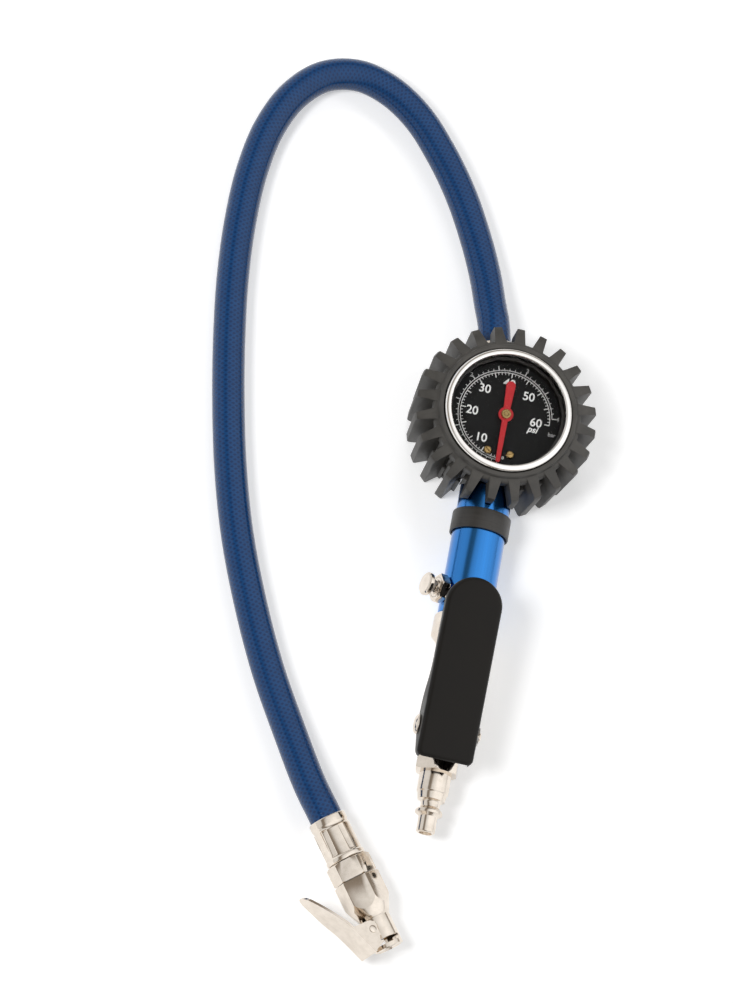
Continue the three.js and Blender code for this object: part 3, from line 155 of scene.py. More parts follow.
# ------------------------------------------------------------------ materials
class Finish:
    """A node material with its shader, and short calls that add the nodes it needs."""

    def __init__(self, name):
        self.material = bpy.data.materials.new(name)
        self.material.use_nodes = True
        self.nodes = self.material.node_tree.nodes
        self.links = self.material.node_tree.links
        self.shader = self.nodes["Principled BSDF"]
        self.place = self.nodes.new("ShaderNodeTexCoord").outputs["Object"]

    def set(self, **values):
        for key, value in values.items():
            socket = self.shader.inputs[key.replace("_", " ").title().replace("Ior", "IOR")]
            if hasattr(value, "__len__"):
                value = (*value, 1.0)
            socket.default_value = value
        return self

    def mapping(self, scale=(1, 1, 1), turn=(0, 0, 0), shift=(0, 0, 0)):
        node = self.nodes.new("ShaderNodeMapping")
        node.inputs["Scale"].default_value = scale
        node.inputs["Rotation"].default_value = turn
        node.inputs["Location"].default_value = shift
        self.links.new(self.place, node.inputs["Vector"])
        return node.outputs["Vector"]

    def noise(self, scale, detail=3.0, where=None, rough=0.55):
        node = self.nodes.new("ShaderNodeTexNoise")
        node.inputs["Scale"].default_value = scale
        node.inputs["Detail"].default_value = detail
        node.inputs["Roughness"].default_value = rough
        self.links.new(where or self.place, node.inputs["Vector"])
        return node.outputs["Fac"]

    def spots(self, scale, where=None):
        node = self.nodes.new("ShaderNodeTexVoronoi")
        node.inputs["Scale"].default_value = scale
        self.links.new(where or self.place, node.inputs["Vector"])
        return node.outputs["Distance"]

    def between(self, value, low, high, start=0.0, end=1.0):
        node = self.nodes.new("ShaderNodeMapRange")
        node.inputs["From Min"].default_value = start
        node.inputs["From Max"].default_value = end
        node.inputs["To Min"].default_value = low
        node.inputs["To Max"].default_value = high
        self.links.new(value, node.inputs["Value"])
        return node.outputs["Result"]

    def ramp(self, value, *stops):
        node = self.nodes.new("ShaderNodeValToRGB")
        marks = node.color_ramp.elements
        while len(marks) < len(stops):
            marks.new(0.5)
        for mark, (position, shade) in zip(marks, stops):
            mark.position = position
            mark.color = (*shade, 1.0)
        self.links.new(value, node.inputs["Fac"])
        return node.outputs["Color"]

    def math(self, operation, first, second=None):
        node = self.nodes.new("ShaderNodeMath")
        node.operation = operation
        for socket, value in zip(node.inputs, (first, second)):
            if isinstance(value, (int, float)):
                socket.default_value = value
            elif value is not None:
                self.links.new(value, socket)
        return node.outputs["Value"]

    def bump(self, height, depth, strength=1.0):
        node = self.nodes.new("ShaderNodeBump")
        node.inputs["Strength"].default_value = strength
        node.inputs["Distance"].default_value = depth
        self.links.new(height, node.inputs["Height"])
        self.links.new(node.outputs["Normal"], self.shader.inputs["Normal"])

    def feed(self, socket, value):
        self.links.new(value, self.shader.inputs[socket])


def once(build):
    """Each finish is made the first time that a piece asks for it."""
    made = {}

    def get():
        if build.__name__ not in made:
            made[build.__name__] = build().material
        return made[build.__name__]
    return get


@once
def nickel_plate():
    look = Finish("nickel_plate").set(metallic=1.0)
    cloud = look.noise(260, 4)
    look.feed("Base Color", look.ramp(cloud, (0.32, finishes().nickel_dark),
                                      (0.6, finishes().nickel)))
    look.feed("Roughness", look.between(look.noise(900, 3), 0.08, 0.15, 0.3, 0.7))
    look.bump(look.noise(1500, 2), 0.00001, 0.15)
    return look


@once
def polished_chrome():
    look = Finish("polished_chrome").set(metallic=1.0, base_color=finishes().chrome)
    look.feed("Roughness", look.between(look.noise(700, 4), 0.045, 0.13, 0.35, 0.7))
    return look


@once
def blue_anodising():
    look = Finish("blue_anodising").set(metallic=1.0, coat_weight=0.5, coat_roughness=0.12)
    drawn = look.noise(60, 3, look.mapping((9, 0.3, 9)))
    deep = tuple(c * 0.88 for c in finishes().tube)
    look.feed("Base Color", look.ramp(drawn, (0.3, deep), (0.7, finishes().tube)))
    look.feed("Roughness", look.between(drawn, 0.17, 0.25, 0.3, 0.7))
    return look


@once
def satin_black_paint():
    look = Finish("satin_black_paint").set(specular_ior_level=0.18)
    peel = look.noise(1300, 2)
    cloud = look.noise(90, 4)
    lighter = tuple(c * 1.4 for c in finishes().lever)
    look.feed("Base Color", look.ramp(cloud, (0.3, finishes().lever), (0.75, lighter)))
    look.feed("Roughness", look.between(cloud, 0.36, 0.47, 0.3, 0.7))
    look.bump(peel, 0.00003, 0.35)
    return look


@once
def moulded_rubber():
    look = Finish("moulded_rubber").set(specular_ior_level=0.5)
    cloud = look.noise(110, 5, rough=0.62)
    look.feed("Base Color", look.ramp(cloud, (0.36, finishes().boot),
                                      (0.72, finishes().boot_bloom)))
    look.feed("Roughness", look.between(cloud, 0.4, 0.56, 0.3, 0.7))
    look.bump(look.noise(2600, 3, rough=0.6), 0.00006, 0.5)
    return look


@once
def band_rubber():
    look = Finish("band_rubber").set(specular_ior_level=0.5)
    grain = look.noise(50, 3, look.mapping((1, 30, 1)))
    lighter = tuple(c * 1.6 for c in finishes().band)
    look.feed("Base Color", look.ramp(grain, (0.3, finishes().band), (0.75, lighter)))
    look.feed("Roughness", look.between(grain, 0.34, 0.46, 0.3, 0.7))
    look.bump(look.noise(2400, 2), 0.00003, 0.3)
    return look


@once
def machined_brass():
    look = Finish("machined_brass").set(metallic=1.0)
    cloud = look.noise(420, 4)
    dull = tuple(c * 0.72 for c in finishes().brass)
    look.feed("Base Color", look.ramp(cloud, (0.35, dull), (0.65, finishes().brass)))
    look.feed("Roughness", look.between(cloud, 0.22, 0.34, 0.3, 0.7))
    return look


@once
def drawn_wire():
    look = Finish("drawn_wire").set(metallic=1.0)
    cloud = look.noise(800, 3)
    look.feed("Base Color", look.ramp(cloud, (0.3, (0.28, 0.27, 0.26)), (0.7, (0.5, 0.48, 0.46))))
    look.feed("Roughness", look.between(cloud, 0.24, 0.38, 0.3, 0.7))
    return look


@once
def dial_face():
    look = Finish("dial_face").set(specular_ior_level=0.12)
    cloud = look.noise(900, 3)
    lighter = tuple(c * 1.7 for c in finishes().dial)
    look.feed("Base Color", look.ramp(cloud, (0.3, finishes().dial), (0.7, lighter)))
    look.feed("Roughness", look.between(cloud, 0.45, 0.56, 0.3, 0.7))
    return look


def print_ink(name, shade):
    look = Finish(name).set(specular_ior_level=0.2)
    grain = look.noise(4000, 2)
    worn = tuple(c * 0.9 for c in shade)
    look.feed("Base Color", look.ramp(grain, (0.3, worn), (0.6, shade)))
    look.feed("Roughness", look.between(grain, 0.5, 0.6, 0.3, 0.7))
    return look


@once
def white_print():
    return print_ink("white_print", finishes().print_white)


@once
def grey_print():
    return print_ink("grey_print", finishes().print_grey)


@once
def red_enamel():
    look = Finish("red_enamel").set(specular_ior_level=0.45)
    cloud = look.noise(1200, 3)
    deep = tuple(c * 0.86 for c in finishes().pointer)
    look.feed("Base Color", look.ramp(cloud, (0.3, deep), (0.7, finishes().pointer)))
    look.feed("Roughness", look.between(cloud, 0.34, 0.44, 0.3, 0.7))
    return look


@once
def clear_lens():
    look = Finish("clear_lens").set(base_color=(0.985, 0.99, 0.99), transmission_weight=1.0,
                                    roughness=0.0, ior=1.08, alpha=0.25)
    look.material.surface_render_method = "BLENDED"
    return look


@once
def braided_hose():
    """Yarns wound both ways round the hose under a clear glossy cover."""
    look = Finish("braided_hose").set(coat_weight=0.5, coat_roughness=0.1, coat_ior=1.5,
                                      specular_ior_level=0.1)
    uv = look.nodes.new("ShaderNodeTexCoord").outputs["UV"]
    split = look.nodes.new("ShaderNodeSeparateXYZ")
    look.links.new(uv, split.inputs["Vector"])
    run = look.math("MULTIPLY", split.outputs["X"], 2 * PI * HOSE_LENGTH / sizes().braid_pitch)
    turn = look.math("MULTIPLY", split.outputs["Y"], 2 * PI * 14)
    right = look.math("SINE", look.math("ADD", run, turn))
    left = look.math("SINE", look.math("SUBTRACT", run, turn))
    weave = look.math("MAXIMUM", right, left)
    cloud = look.noise(160, 4)
    height = look.math("ADD", weave, look.math("MULTIPLY", cloud, 0.9))
    look.feed("Base Color", look.ramp(look.between(height, 0.0, 1.0, -0.3, 1.7),
                                      (0.25, finishes().hose), (0.95, finishes().hose_yarn)))
    look.feed("Roughness", look.between(weave, 0.38, 0.26, -1.0, 1.0))
    look.bump(weave, 0.00014, 0.3)
    return look


@once
def pale_floor():
    """White to the lens and to gloss, plain pale grey under the object's shadow."""
    look = Finish("pale_floor").set(specular_ior_level=0.0)
    look.feed("Roughness", look.between(look.noise(3, 2), 0.85, 0.95))
    look.feed("Base Color", look.ramp(look.noise(2, 2), (0.3, finishes().floor),
                                      (0.7, tuple(c * 1.01 for c in finishes().floor))))
    return look


# ------------------------------------------------------------------ shaping tools
def turned(profile, steps=96, closed=False, soft=0.0):
    """A turned shape about Z from (radius, height) pairs, its corners rounded by soft."""
    bm = bmesh.new()
    points = [bm.verts.new((r, 0, z)) for r, z in profile]
    edges = [bm.edges.new(pair) for pair in zip(points, points[1:])]
    if closed:
        edges.append(bm.edges.new((points[-1], points[0])))
    if soft:
        corners = [p for p in points if len(p.link_edges) == 2]
        bmesh.ops.bevel(bm, geom=corners, offset=soft, offset_type="OFFSET", segments=3,
                        profile=0.5, affect="VERTICES", clamp_overlap=True, material=-1)
    bmesh.ops.spin(bm, geom=bm.verts[:] + bm.edges[:], cent=(0, 0, 0), axis=(0, 0, 1),
                   angle=2 * PI, steps=steps, use_merge=True)
    bmesh.ops.remove_doubles(bm, verts=bm.verts, dist=1e-4)
    bmesh.ops.recalc_face_normals(bm, faces=bm.faces)
    return bm


def rod(radius, low, high, steps=48):
    return turned([(0, low), (radius, low), (radius, high), (0, high)], steps)


def prism(outline, low, high):
    """An outline in XY, given thickness from low to high."""
    bm = bmesh.new()
    face = bm.faces.new([bm.verts.new((x, y, low)) for x, y in outline])
    grown = bmesh.ops.extrude_face_region(bm, geom=[face])["geom"]
    tops = [v for v in grown if isinstance(v, bmesh.types.BMVert)]
    bmesh.ops.translate(bm, verts=tops, vec=(0, 0, high - low))
    bmesh.ops.recalc_face_normals(bm, faces=bm.faces)
    return bm


def block(x0, x1, y0, y1, z0, z1):
    bm = bmesh.new()
    middle = Matrix.Translation(((x0 + x1) / 2, (y0 + y1) / 2, (z0 + z1) / 2))
    bmesh.ops.create_cube(bm, size=1, matrix=middle @ Matrix.Diagonal(
        (x1 - x0, y1 - y0, z1 - z0, 1)))
    return bm


def hexagon(flats, low, high, turn=0.0):
    corner = flats / 2 / math.cos(PI / 6)
    return prism([(corner * math.cos(turn + PI / 3 * i), corner * math.sin(turn + PI / 3 * i))
                  for i in range(6)], low, high)


def arc(x, y, radius, start, end, steps):
    return [(x + radius * math.cos(start + (end - start) * i / steps),
             y + radius * math.sin(start + (end - start) * i / steps))
            for i in range(steps + 1)]


def moved(bm, matrix):
    bmesh.ops.transform(bm, matrix=matrix, verts=bm.verts)
    if matrix.to_3x3().determinant() < 0:
        bmesh.ops.reverse_faces(bm, faces=bm.faces)
    return bm


def soft_edges(bm, width, angle=30, segments=2):
    sharp = [e for e in bm.edges if len(e.link_faces) == 2
             and e.calc_face_angle(0) > math.radians(angle)]
    bmesh.ops.bevel(bm, geom=sharp, offset=width, offset_type="OFFSET", segments=segments,
                    profile=0.5, affect="EDGES", clamp_overlap=True, material=-1)
    return bm


def together(*parts):
    """Several shapes as one mesh, without joining their walls."""
    whole = bmesh.new()
    for part in parts:
        mesh = bpy.data.meshes.new("part")
        part.to_mesh(mesh)
        whole.from_mesh(mesh)
        bpy.data.meshes.remove(mesh)
        part.free()
    return whole


def loose(bm):
    mesh = bpy.data.meshes.new("loose")
    bm.to_mesh(mesh)
    bm.free()
    thing = bpy.data.objects.new("loose", mesh)
    bpy.context.scene.collection.objects.link(thing)
    return thing


def settled(thing):
    """The mesh of an object with its modifiers applied, as a bmesh; the object goes away."""
    bpy.context.view_layer.update()
    graph = bpy.context.evaluated_depsgraph_get()
    mesh = bpy.data.meshes.new_from_object(thing.evaluated_get(graph))
    bm = bmesh.new()
    bm.from_mesh(mesh)
    bpy.data.meshes.remove(mesh)
    bpy.data.objects.remove(thing)
    return bm


def carved(bm, *steps):
    """A shape after (operation, other shape) steps; operation is UNION, DIFFERENCE or INTERSECT."""
    thing = loose(bm)
    tools = []
    for operation, other in steps:
        tool = loose(other)
        tools.append(tool)
        change = thing.modifiers.new("change", "BOOLEAN")
        change.operation = operation
        change.object = tool
        change.solver = "EXACT"
    result = settled(thing)
    for tool in tools:
        bpy.data.objects.remove(tool)
    bmesh.ops.remove_doubles(result, verts=result.verts, dist=1e-4)
    bmesh.ops.dissolve_degenerate(result, edges=result.edges, dist=1e-4)
    return result


def place(name, bm, where, material, body, nodes=(), sharp=32, bevel=0.0):
    """Puts a shape made in millimetres in its frame as a finished piece."""
    bmesh.ops.transform(bm, matrix=Matrix.Scale(MM, 4) @ where, verts=bm.verts)
    mesh = bpy.data.meshes.new(name)
    bm.to_mesh(mesh)
    bm.free()
    mesh.shade_smooth()
    mesh.set_sharp_from_angle(angle=math.radians(sharp))
    piece = bpy.data.objects.new(name, mesh)
    bpy.context.scene.collection.objects.link(piece)
    piece.data.materials.append(material)
    if bevel:
        rounding = piece.modifiers.new("rounding", "BEVEL")
        rounding.width = bevel
        rounding.segments = 2
        rounding.limit_method = "ANGLE"
        rounding.angle_limit = math.radians(35)
        rounding.harden_normals = True
    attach(piece, body)
    if nodes:
        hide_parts(*nodes)
    return piece


class Piece:
    """What every piece's operator shares."""

    bl_options = {"REGISTER", "UNDO"}

    def execute(self, context):
        self.build(context)
        return {"FINISHED"}


# ------------------------------------------------------------------ stage
TOWARDS_WINDOW = Vector((0.55, -0.1, 0.8))


class INFLATOR_OT_stage(Piece, Operator):
    """Floor, studio light and camera"""

    bl_idname = "inflator.stage"
    bl_label = "Stage"

    def build(self, context):
        scene = context.scene
        scene.view_settings.view_transform = "Standard"
        self.camera(scene)
        self.floor(scene)
        self.world(scene)
        lamps = (("key_light", (-0.75, -0.35, 1.25), 0.4, 11.5),
                 ("fill_light", (0.95, 0.5, 0.95), 0.5, 4.2),
                 ("back_light", (-0.2, 1.15, 1.0), 0.5, 3.8))
        for name, spot, side, power in lamps:
            lamp = bpy.data.lights.new(name, "AREA")
            lamp.shape = "SQUARE"
            lamp.size = side
            lamp.energy = power
            light = bpy.data.objects.new(name, lamp)
            light.location = spot
            light.visible_glossy = False
            light.visible_transmission = False
            aim = Vector((-0.04, 0.03, 0.0)) - light.location
            light.rotation_euler = aim.to_track_quat("-Z", "Y").to_euler()
            scene.collection.objects.link(light)

    def camera(self, scene):
        around, above, roll = (math.radians(a) for a in (17.54, 70.09, 29.37))
        back = Vector((-math.sin(around) * math.cos(above), -math.cos(around) * math.cos(above),
                       math.sin(above)))
        side = Vector((0, 0, 1)).cross(back).normalized()
        up = back.cross(side)
        right = math.cos(roll) * side + math.sin(roll) * up
        top = math.cos(roll) * up - math.sin(roll) * side
        turn = Matrix((right, top, back)).transposed()
        lens = bpy.data.cameras.new("camera")
        lens.sensor_fit = "VERTICAL"
        lens.sensor_height = 36.0
        lens.lens = 135.3
        camera = bpy.data.objects.new("camera", lens)
        target = Vector((-0.04964, 0.02505, 0.012))
        camera.matrix_world = Matrix.Translation(target + back * 1.6) @ turn.to_4x4()
        scene.collection.objects.link(camera)
        scene.camera = camera

    def floor(self, scene):
        bm = bmesh.new()
        bmesh.ops.create_circle(bm, cap_ends=True, segments=96, radius=4.0)
        floor = loose(bm)
        floor.name = "floor"
        floor.location.z = -0.0002
        material = pale_floor()
        nodes = material.node_tree.nodes
        links = material.node_tree.links
        path = nodes.new("ShaderNodeLightPath")
        seen = path.outputs["Is Camera Ray"]
        for kind in ("Is Glossy Ray", "Is Transmission Ray"):
            larger = nodes.new("ShaderNodeMath")
            larger.operation = "MAXIMUM"
            links.new(seen, larger.inputs[0])
            links.new(path.outputs[kind], larger.inputs[1])
            seen = larger.outputs["Value"]
        glow = nodes.new("ShaderNodeEmission")
        glow.inputs["Color"].default_value = (1, 1, 1, 1)
        glow.inputs["Strength"].default_value = 0.42
        add = nodes.new("ShaderNodeAddShader")
        mix = nodes.new("ShaderNodeMixShader")
        plain = nodes["Principled BSDF"].outputs["BSDF"]
        links.new(plain, add.inputs[0])
        links.new(glow.outputs["Emission"], add.inputs[1])
        links.new(seen, mix.inputs["Fac"])
        links.new(plain, mix.inputs[1])
        links.new(add.outputs["Shader"], mix.inputs[2])
        links.new(mix.outputs["Shader"], nodes["Material Output"].inputs["Surface"])
        floor.data.materials.append(material)

    def world(self, scene):
        world = bpy.data.worlds.new("studio")
        world.use_nodes = True
        scene.world = world
        nodes, links = world.node_tree.nodes, world.node_tree.links
        nodes.clear()
        sky = nodes.new("ShaderNodeTexCoord").outputs["Generated"]
        slant = nodes.new("ShaderNodeVectorMath")
        slant.operation = "DOT_PRODUCT"
        slant.inputs[1].default_value = TOWARDS_WINDOW
        links.new(sky, slant.inputs[0])
        ripple = nodes.new("ShaderNodeTexNoise")
        ripple.inputs["Scale"].default_value = 1.6
        ripple.inputs["Detail"].default_value = 1.0
        links.new(sky, ripple.inputs["Vector"])
        shift = nodes.new("ShaderNodeMath")
        shift.operation = "MULTIPLY_ADD"
        shift.inputs[1].default_value = 0.3
        links.new(ripple.outputs["Fac"], shift.inputs[0])
        links.new(slant.outputs["Value"], shift.inputs[2])
        room = nodes.new("ShaderNodeValToRGB")
        stops = ((0.0, 0.85), (0.2, 0.8), (0.34, 0.22), (0.58, 0.3), (0.72, 0.85), (1.0, 1.25))
        marks = room.color_ramp.elements
        while len(marks) < len(stops):
            marks.new(0.5)
        for mark, (position, level) in zip(marks, stops):
            mark.position = position
            warm = 1.0 if level > 0.5 else 0.72
            mark.color = (level, level * (1 + warm) / 2, level * warm, 1)
        links.new(shift.outputs["Value"], room.inputs["Fac"])
        gloss = nodes.new("ShaderNodeLightPath").outputs["Is Glossy Ray"]
        tint = nodes.new("ShaderNodeMix")
        tint.data_type = "RGBA"
        tint.inputs[6].default_value = (0.24, 0.24, 0.24, 1)
        links.new(gloss, tint.inputs["Factor"])
        links.new(room.outputs["Color"], tint.inputs[7])
        back = nodes.new("ShaderNodeBackground")
        links.new(tint.outputs[2], back.inputs["Color"])
        out = nodes.new("ShaderNodeOutputWorld")
        links.new(back.outputs["Background"], out.inputs["Surface"])


# ------------------------------------------------------------------ hose
def chuck_point(along):
    return CHUCK @ Vector((0, along, 0))


def hose_line():
    """The hose's centre line in metres, evenly stepped along a centripetal curve."""
    knots = [Vector((x, y + GAUGE_Y, z)) * MM for x, y, z in HOSE_ROUTE]
    knots += [chuck_point(-4) * MM, chuck_point(3) * MM]
    padded = [2 * knots[0] - knots[1], *knots, 2 * knots[-1] - knots[-2]]
    fine = []
    for a, b, c, d in zip(padded, padded[1:], padded[2:], padded[3:]):
        t1 = (b - a).length ** 0.5
        t2 = t1 + (c - b).length ** 0.5
        t3 = t2 + (d - c).length ** 0.5
        for i in range(40):
            t = t1 + (t2 - t1) * i / 40
            ab = a.lerp(b, t / t1)
            bc = b.lerp(c, (t - t1) / (t2 - t1))
            cd = c.lerp(d, (t - t2) / (t3 - t2))
            abc = ab.lerp(bc, t / t2)
            bcd = bc.lerp(cd, (t - t1) / (t3 - t1))
            fine.append(abc.lerp(bcd, (t - t1) / (t2 - t1)))
    fine.append(knots[-1])
    run = [0.0]
    for p, q in zip(fine, fine[1:]):
        run.append(run[-1] + (q - p).length)
    even, k = [], 0
    count = 420
    for i in range(count + 1):
        s = run[-1] * i / count
        while k < len(run) - 2 and run[k + 1] < s:
            k += 1
        even.append(fine[k].lerp(fine[k + 1], (s - run[k]) / (run[k + 1] - run[k])))
    return even, run[-1]


HOSE_LINE, HOSE_LENGTH = hose_line()


class INFLATOR_OT_hose(Piece, Operator):
    """Braided hose on its loop across the floor"""

    bl_idname = "inflator.hose"
    bl_label = "Hose"

    def build(self, context):
        curve = bpy.data.curves.new("braided_hose", "CURVE")
        curve.dimensions = "3D"
        curve.twist_mode = "MINIMUM"
        curve.bevel_depth = sizes().hose_diameter / 2
        curve.bevel_resolution = 10
        curve.use_fill_caps = True
        spline = curve.splines.new("POLY")
        spline.points.add(len(HOSE_LINE) - 1)
        for knot, point in zip(spline.points, HOSE_LINE):
            knot.co = (*point, 1.0)
        curve.materials.append(braided_hose())
        hose = bpy.data.objects.new("braided_hose", curve)
        context.scene.collection.objects.link(hose)
        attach(hose, "handle")
        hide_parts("hose")


class INFLATOR_OT_cord(Piece, Operator):
    """An empty step: it builds and states nothing."""

    bl_idname = "inflator.cord"
    bl_label = "Hose facts"

    def build(self, context):
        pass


# ------------------------------------------------------------------ handle
class INFLATOR_OT_tube(Piece, Operator):
    """Anodised tube and its rubber band"""

    bl_idname = "inflator.tube"
    bl_label = "Tube and band"

    def build(self, context):
        neck = TUBE_TOP - 9
        tube = turned([(6.3, TUBE_TOP), (10.6, TUBE_TOP), (11.4, TUBE_TOP - 0.8),
                       (11.4, TUBE_END + 0.3), (11.1, TUBE_END), (9.0, TUBE_END), (9.0, neck),
                       (6.3, neck)], 128, closed=True, soft=0.12)
        port = moved(rod(3.2, 6, 14), Matrix.Translation((0, 0, BLEED_Y))
                     @ Matrix.Rotation(math.radians(20), 4, "Z")
                     @ Matrix.Rotation(-PI / 2, 4, "Y"))
        tube = carved(tube, ("DIFFERENCE", port))
        place("blue_tube", tube, HANDLE @ ALONG_Y, blue_anodising(), "handle",
              ["body_tube"])
        top = TUBE_TOP - 13.8
        low = top - sizes().band_width / MM
        band = turned([(11.7, top), (12.6, top), (12.6, low), (11.7, low)], 128, closed=True,
                      soft=0.28)
        place("rubber_band", band, HANDLE @ ALONG_Y, band_rubber(), "handle",
              ["tube_band"])


class INFLATOR_OT_housing(Piece, Operator):
    """Plated valve housing"""

    bl_idname = "inflator.housing"
    bl_label = "Valve housing"

    def build(self, context):
        collar = HOUSING_TOP - 9.4
        end = HOUSING_END + 6.2
        barrel = turned([
            (4, HOUSING_TOP + 4.5), (8.2, HOUSING_TOP + 4.5), (8.7, HOUSING_TOP + 4),
            (8.7, HOUSING_TOP), (11.7, HOUSING_TOP), (12.5, HOUSING_TOP - 0.8),
            (12.5, collar), (11.5, collar - 1.2), (9.4, collar - 3.6), (9.4, end + 1),
            (10, end), (10, HOUSING_END + 0.6), (9.4, HOUSING_END), (6.5, HOUSING_END),
            (6.5, HOUSING_END + 9.6), (4, HOUSING_END + 9.6)], 96, closed=True, soft=0.35)
        barrel = moved(barrel, ALONG_Y)
        half = 9.7
        boss = moved(turned([(0, -10.4), (6.2, -10.4), (6.2, 12.1), (0, 12.1)], 72, soft=0.3),
                     Matrix.Translation((0, VALVE_Y, 0)))
        head = moved(rod(4.7, -half, half, 64),
                     Matrix.Translation((0, PIVOT_Y, PIVOT_Z)) @ ALONG_LEFT)
        foot = block(-half, half, PIVOT_Y - 4.7, PIVOT_Y + 4.7, 0.5, PIVOT_Z)
        web = block(-2.4, 2.4, PIVOT_Y, VALVE_Y, 0.5, PIVOT_Z - 0.6)
        airway = moved(rod(4, HOUSING_END + 5, HOUSING_TOP + 6), ALONG_Y)
        inlet = moved(rod(6.5, HOUSING_END - 1, HOUSING_END + 9.6), ALONG_Y)
        bore = moved(rod(4.6, -12, 13.5), Matrix.Translation((0, VALVE_Y, 0)))
        hole = moved(rod(2.3, -11, 11), Matrix.Translation((0, PIVOT_Y, PIVOT_Z)) @ ALONG_LEFT)
        body = carved(barrel, ("UNION", boss), ("UNION", head), ("UNION", foot), ("UNION", web),
                      ("DIFFERENCE", airway), ("DIFFERENCE", inlet), ("DIFFERENCE", bore),
                      ("DIFFERENCE", hole))
        place("plated_housing", body, HANDLE, nickel_plate(), "handle",
              ["valve_housing"])


class INFLATOR_OT_plug(Piece, Operator):
    """Inlet plug with its hexagon and sealing washer"""

    bl_idname = "inflator.plug"
    bl_label = "Inlet plug"

    def build(self, context):
        hex_end = PLUG_TOP - 7
        shank_end = hex_end - 9
        neck = shank_end - 3
        neck_end = neck - 3.9
        ridge_end = neck_end - 3
        thread = HOUSING_END + 8.2
        dip = arc(5.75, neck, 1.6, PI / 2, PI, 8)
        stem = turned([
            (2.7, thread), (5.6, thread), (6.2, thread - 0.6), (6.2, PLUG_TOP),
            (6.75, PLUG_TOP), (6.75, shank_end + 0.6), (6.25, shank_end),
            *[(x, y - 1.5) for x, y in dip], (4.15, neck_end + 1), (4.85, neck_end + 0.2),
            (5.3, neck_end), (5.8, neck_end - 0.6), (5.8, ridge_end + 1.2), (4, ridge_end),
            (4, PLUG_TIP + 0.5), (3.6, PLUG_TIP), (2.7, PLUG_TIP)], 96, closed=True, soft=0.18)
        corner = 17 / 2 / math.cos(PI / 6)
        cone = turned([
            (0, PLUG_TOP + 0.01), (corner - 0.9, PLUG_TOP + 0.01), (corner + 0.1, PLUG_TOP - 0.7),
            (corner + 0.1, hex_end + 0.7), (corner - 0.9, hex_end), (0, hex_end)], 96)
        nut = carved(hexagon(17, hex_end - 1, PLUG_TOP + 1, math.radians(19)), ("INTERSECT", cone),
                     ("DIFFERENCE", rod(5, hex_end - 2, PLUG_TOP + 2, 96)))
        soft_edges(nut, 0.14, 25)
        place("inlet_stem", stem, HANDLE @ ALONG_Y, nickel_plate(), "handle",
              ["inlet_plug"])
        place("inlet_hexagon", nut, HANDLE @ ALONG_Y, nickel_plate(), "handle",
              ["inlet_plug"], sharp=20)
        seal_top = HOUSING_END - 0.3
        seal = turned([(6.5, seal_top), (8.2, seal_top), (8.2, seal_top - 1),
                       (6.5, seal_top - 1)], 96, closed=True, soft=0.15)
        place("inlet_washer", seal, HANDLE @ ALONG_Y, band_rubber(), "handle",
              ["inlet_seal"])


class INFLATOR_OT_valve(Piece, Operator):
    """Trigger valve: bush, stem, spring and cap"""

    bl_idname = "inflator.valve"
    bl_label = "Trigger valve"

    def build(self, context):
        where = HANDLE @ Matrix.Translation((0, VALVE_Y, 0))
        bush = turned([(4.3, 1), (4.3, 12.4), (5.8, 12.4), (5.8, 13.3), (5.2, 13.8),
                       (2.1, 13.8), (2.1, 1)], 64, closed=True, soft=0.12)
        place("brass_bush", bush, where, machined_brass(), "handle", ["valve_bush"])
        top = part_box("valve_stem")[1][2] / MM - AXIS_Z
        stem = turned([(0, -4.9), (1.3, -4.9), (1.3, -3.2), (3.6, -3.2), (3.6, -1.2),
                       (1.8, -1.2), (1.8, top - 0.7), (1.1, top), (0, top)], 48, soft=0.1)
        place("valve_plunger", stem, where, nickel_plate(), "valve_stem",
              ["valve_stem"])
        cap = turned([(0, -12.1), (5.1, -12.1), (5.8, -11.5), (5.8, -10.7), (4.3, -10.7),
                      (4.3, -8.6), (0, -8.6)], 64, soft=0.12)
        slot = block(-0.7, 0.7, -7, 7, -13, -11.4)
        place("slotted_cap", carved(cap, ("DIFFERENCE", slot)), where, nickel_plate(), "handle",
              ["valve_cap"])
        # The spring is stepped, so that its upper turns go down inside the lower ones.
        place("valve_coil", coil(3, 0.28, -8.3, -6.75, 2), where, drawn_wire(), "handle",
              ["valve_spring"])
        place("valve_coil_top", coil(2.35, 0.28, -5.1, -3.5, 2), where, drawn_wire(),
              "valve_stem")


def lever_plan(inset, tail):
    half = 12.0 - inset
    corner = 2.8
    reach = 64.5 - 12
    return [*arc(half - corner, -tail + corner, corner, -PI / 2, 0, 6),
            *arc(0, reach, half, 0, PI, 40),
            *arc(-half + corner, -tail + corner, corner, PI, 1.5 * PI, 6)]


def rolled(outline, top, depth, roll):
    """A slab hanging from top, with the edge of its upper face rolled over."""
    slab = prism(outline, top - depth, top)
    rim = [e for e in slab.edges if all(abs(v.co.z - top) < 1e-6 for v in e.verts)]
    bmesh.ops.bevel(slab, geom=rim, offset=roll, offset_type="OFFSET", segments=8, profile=0.5,
                    affect="EDGES", clamp_overlap=True, material=-1)
    return slab


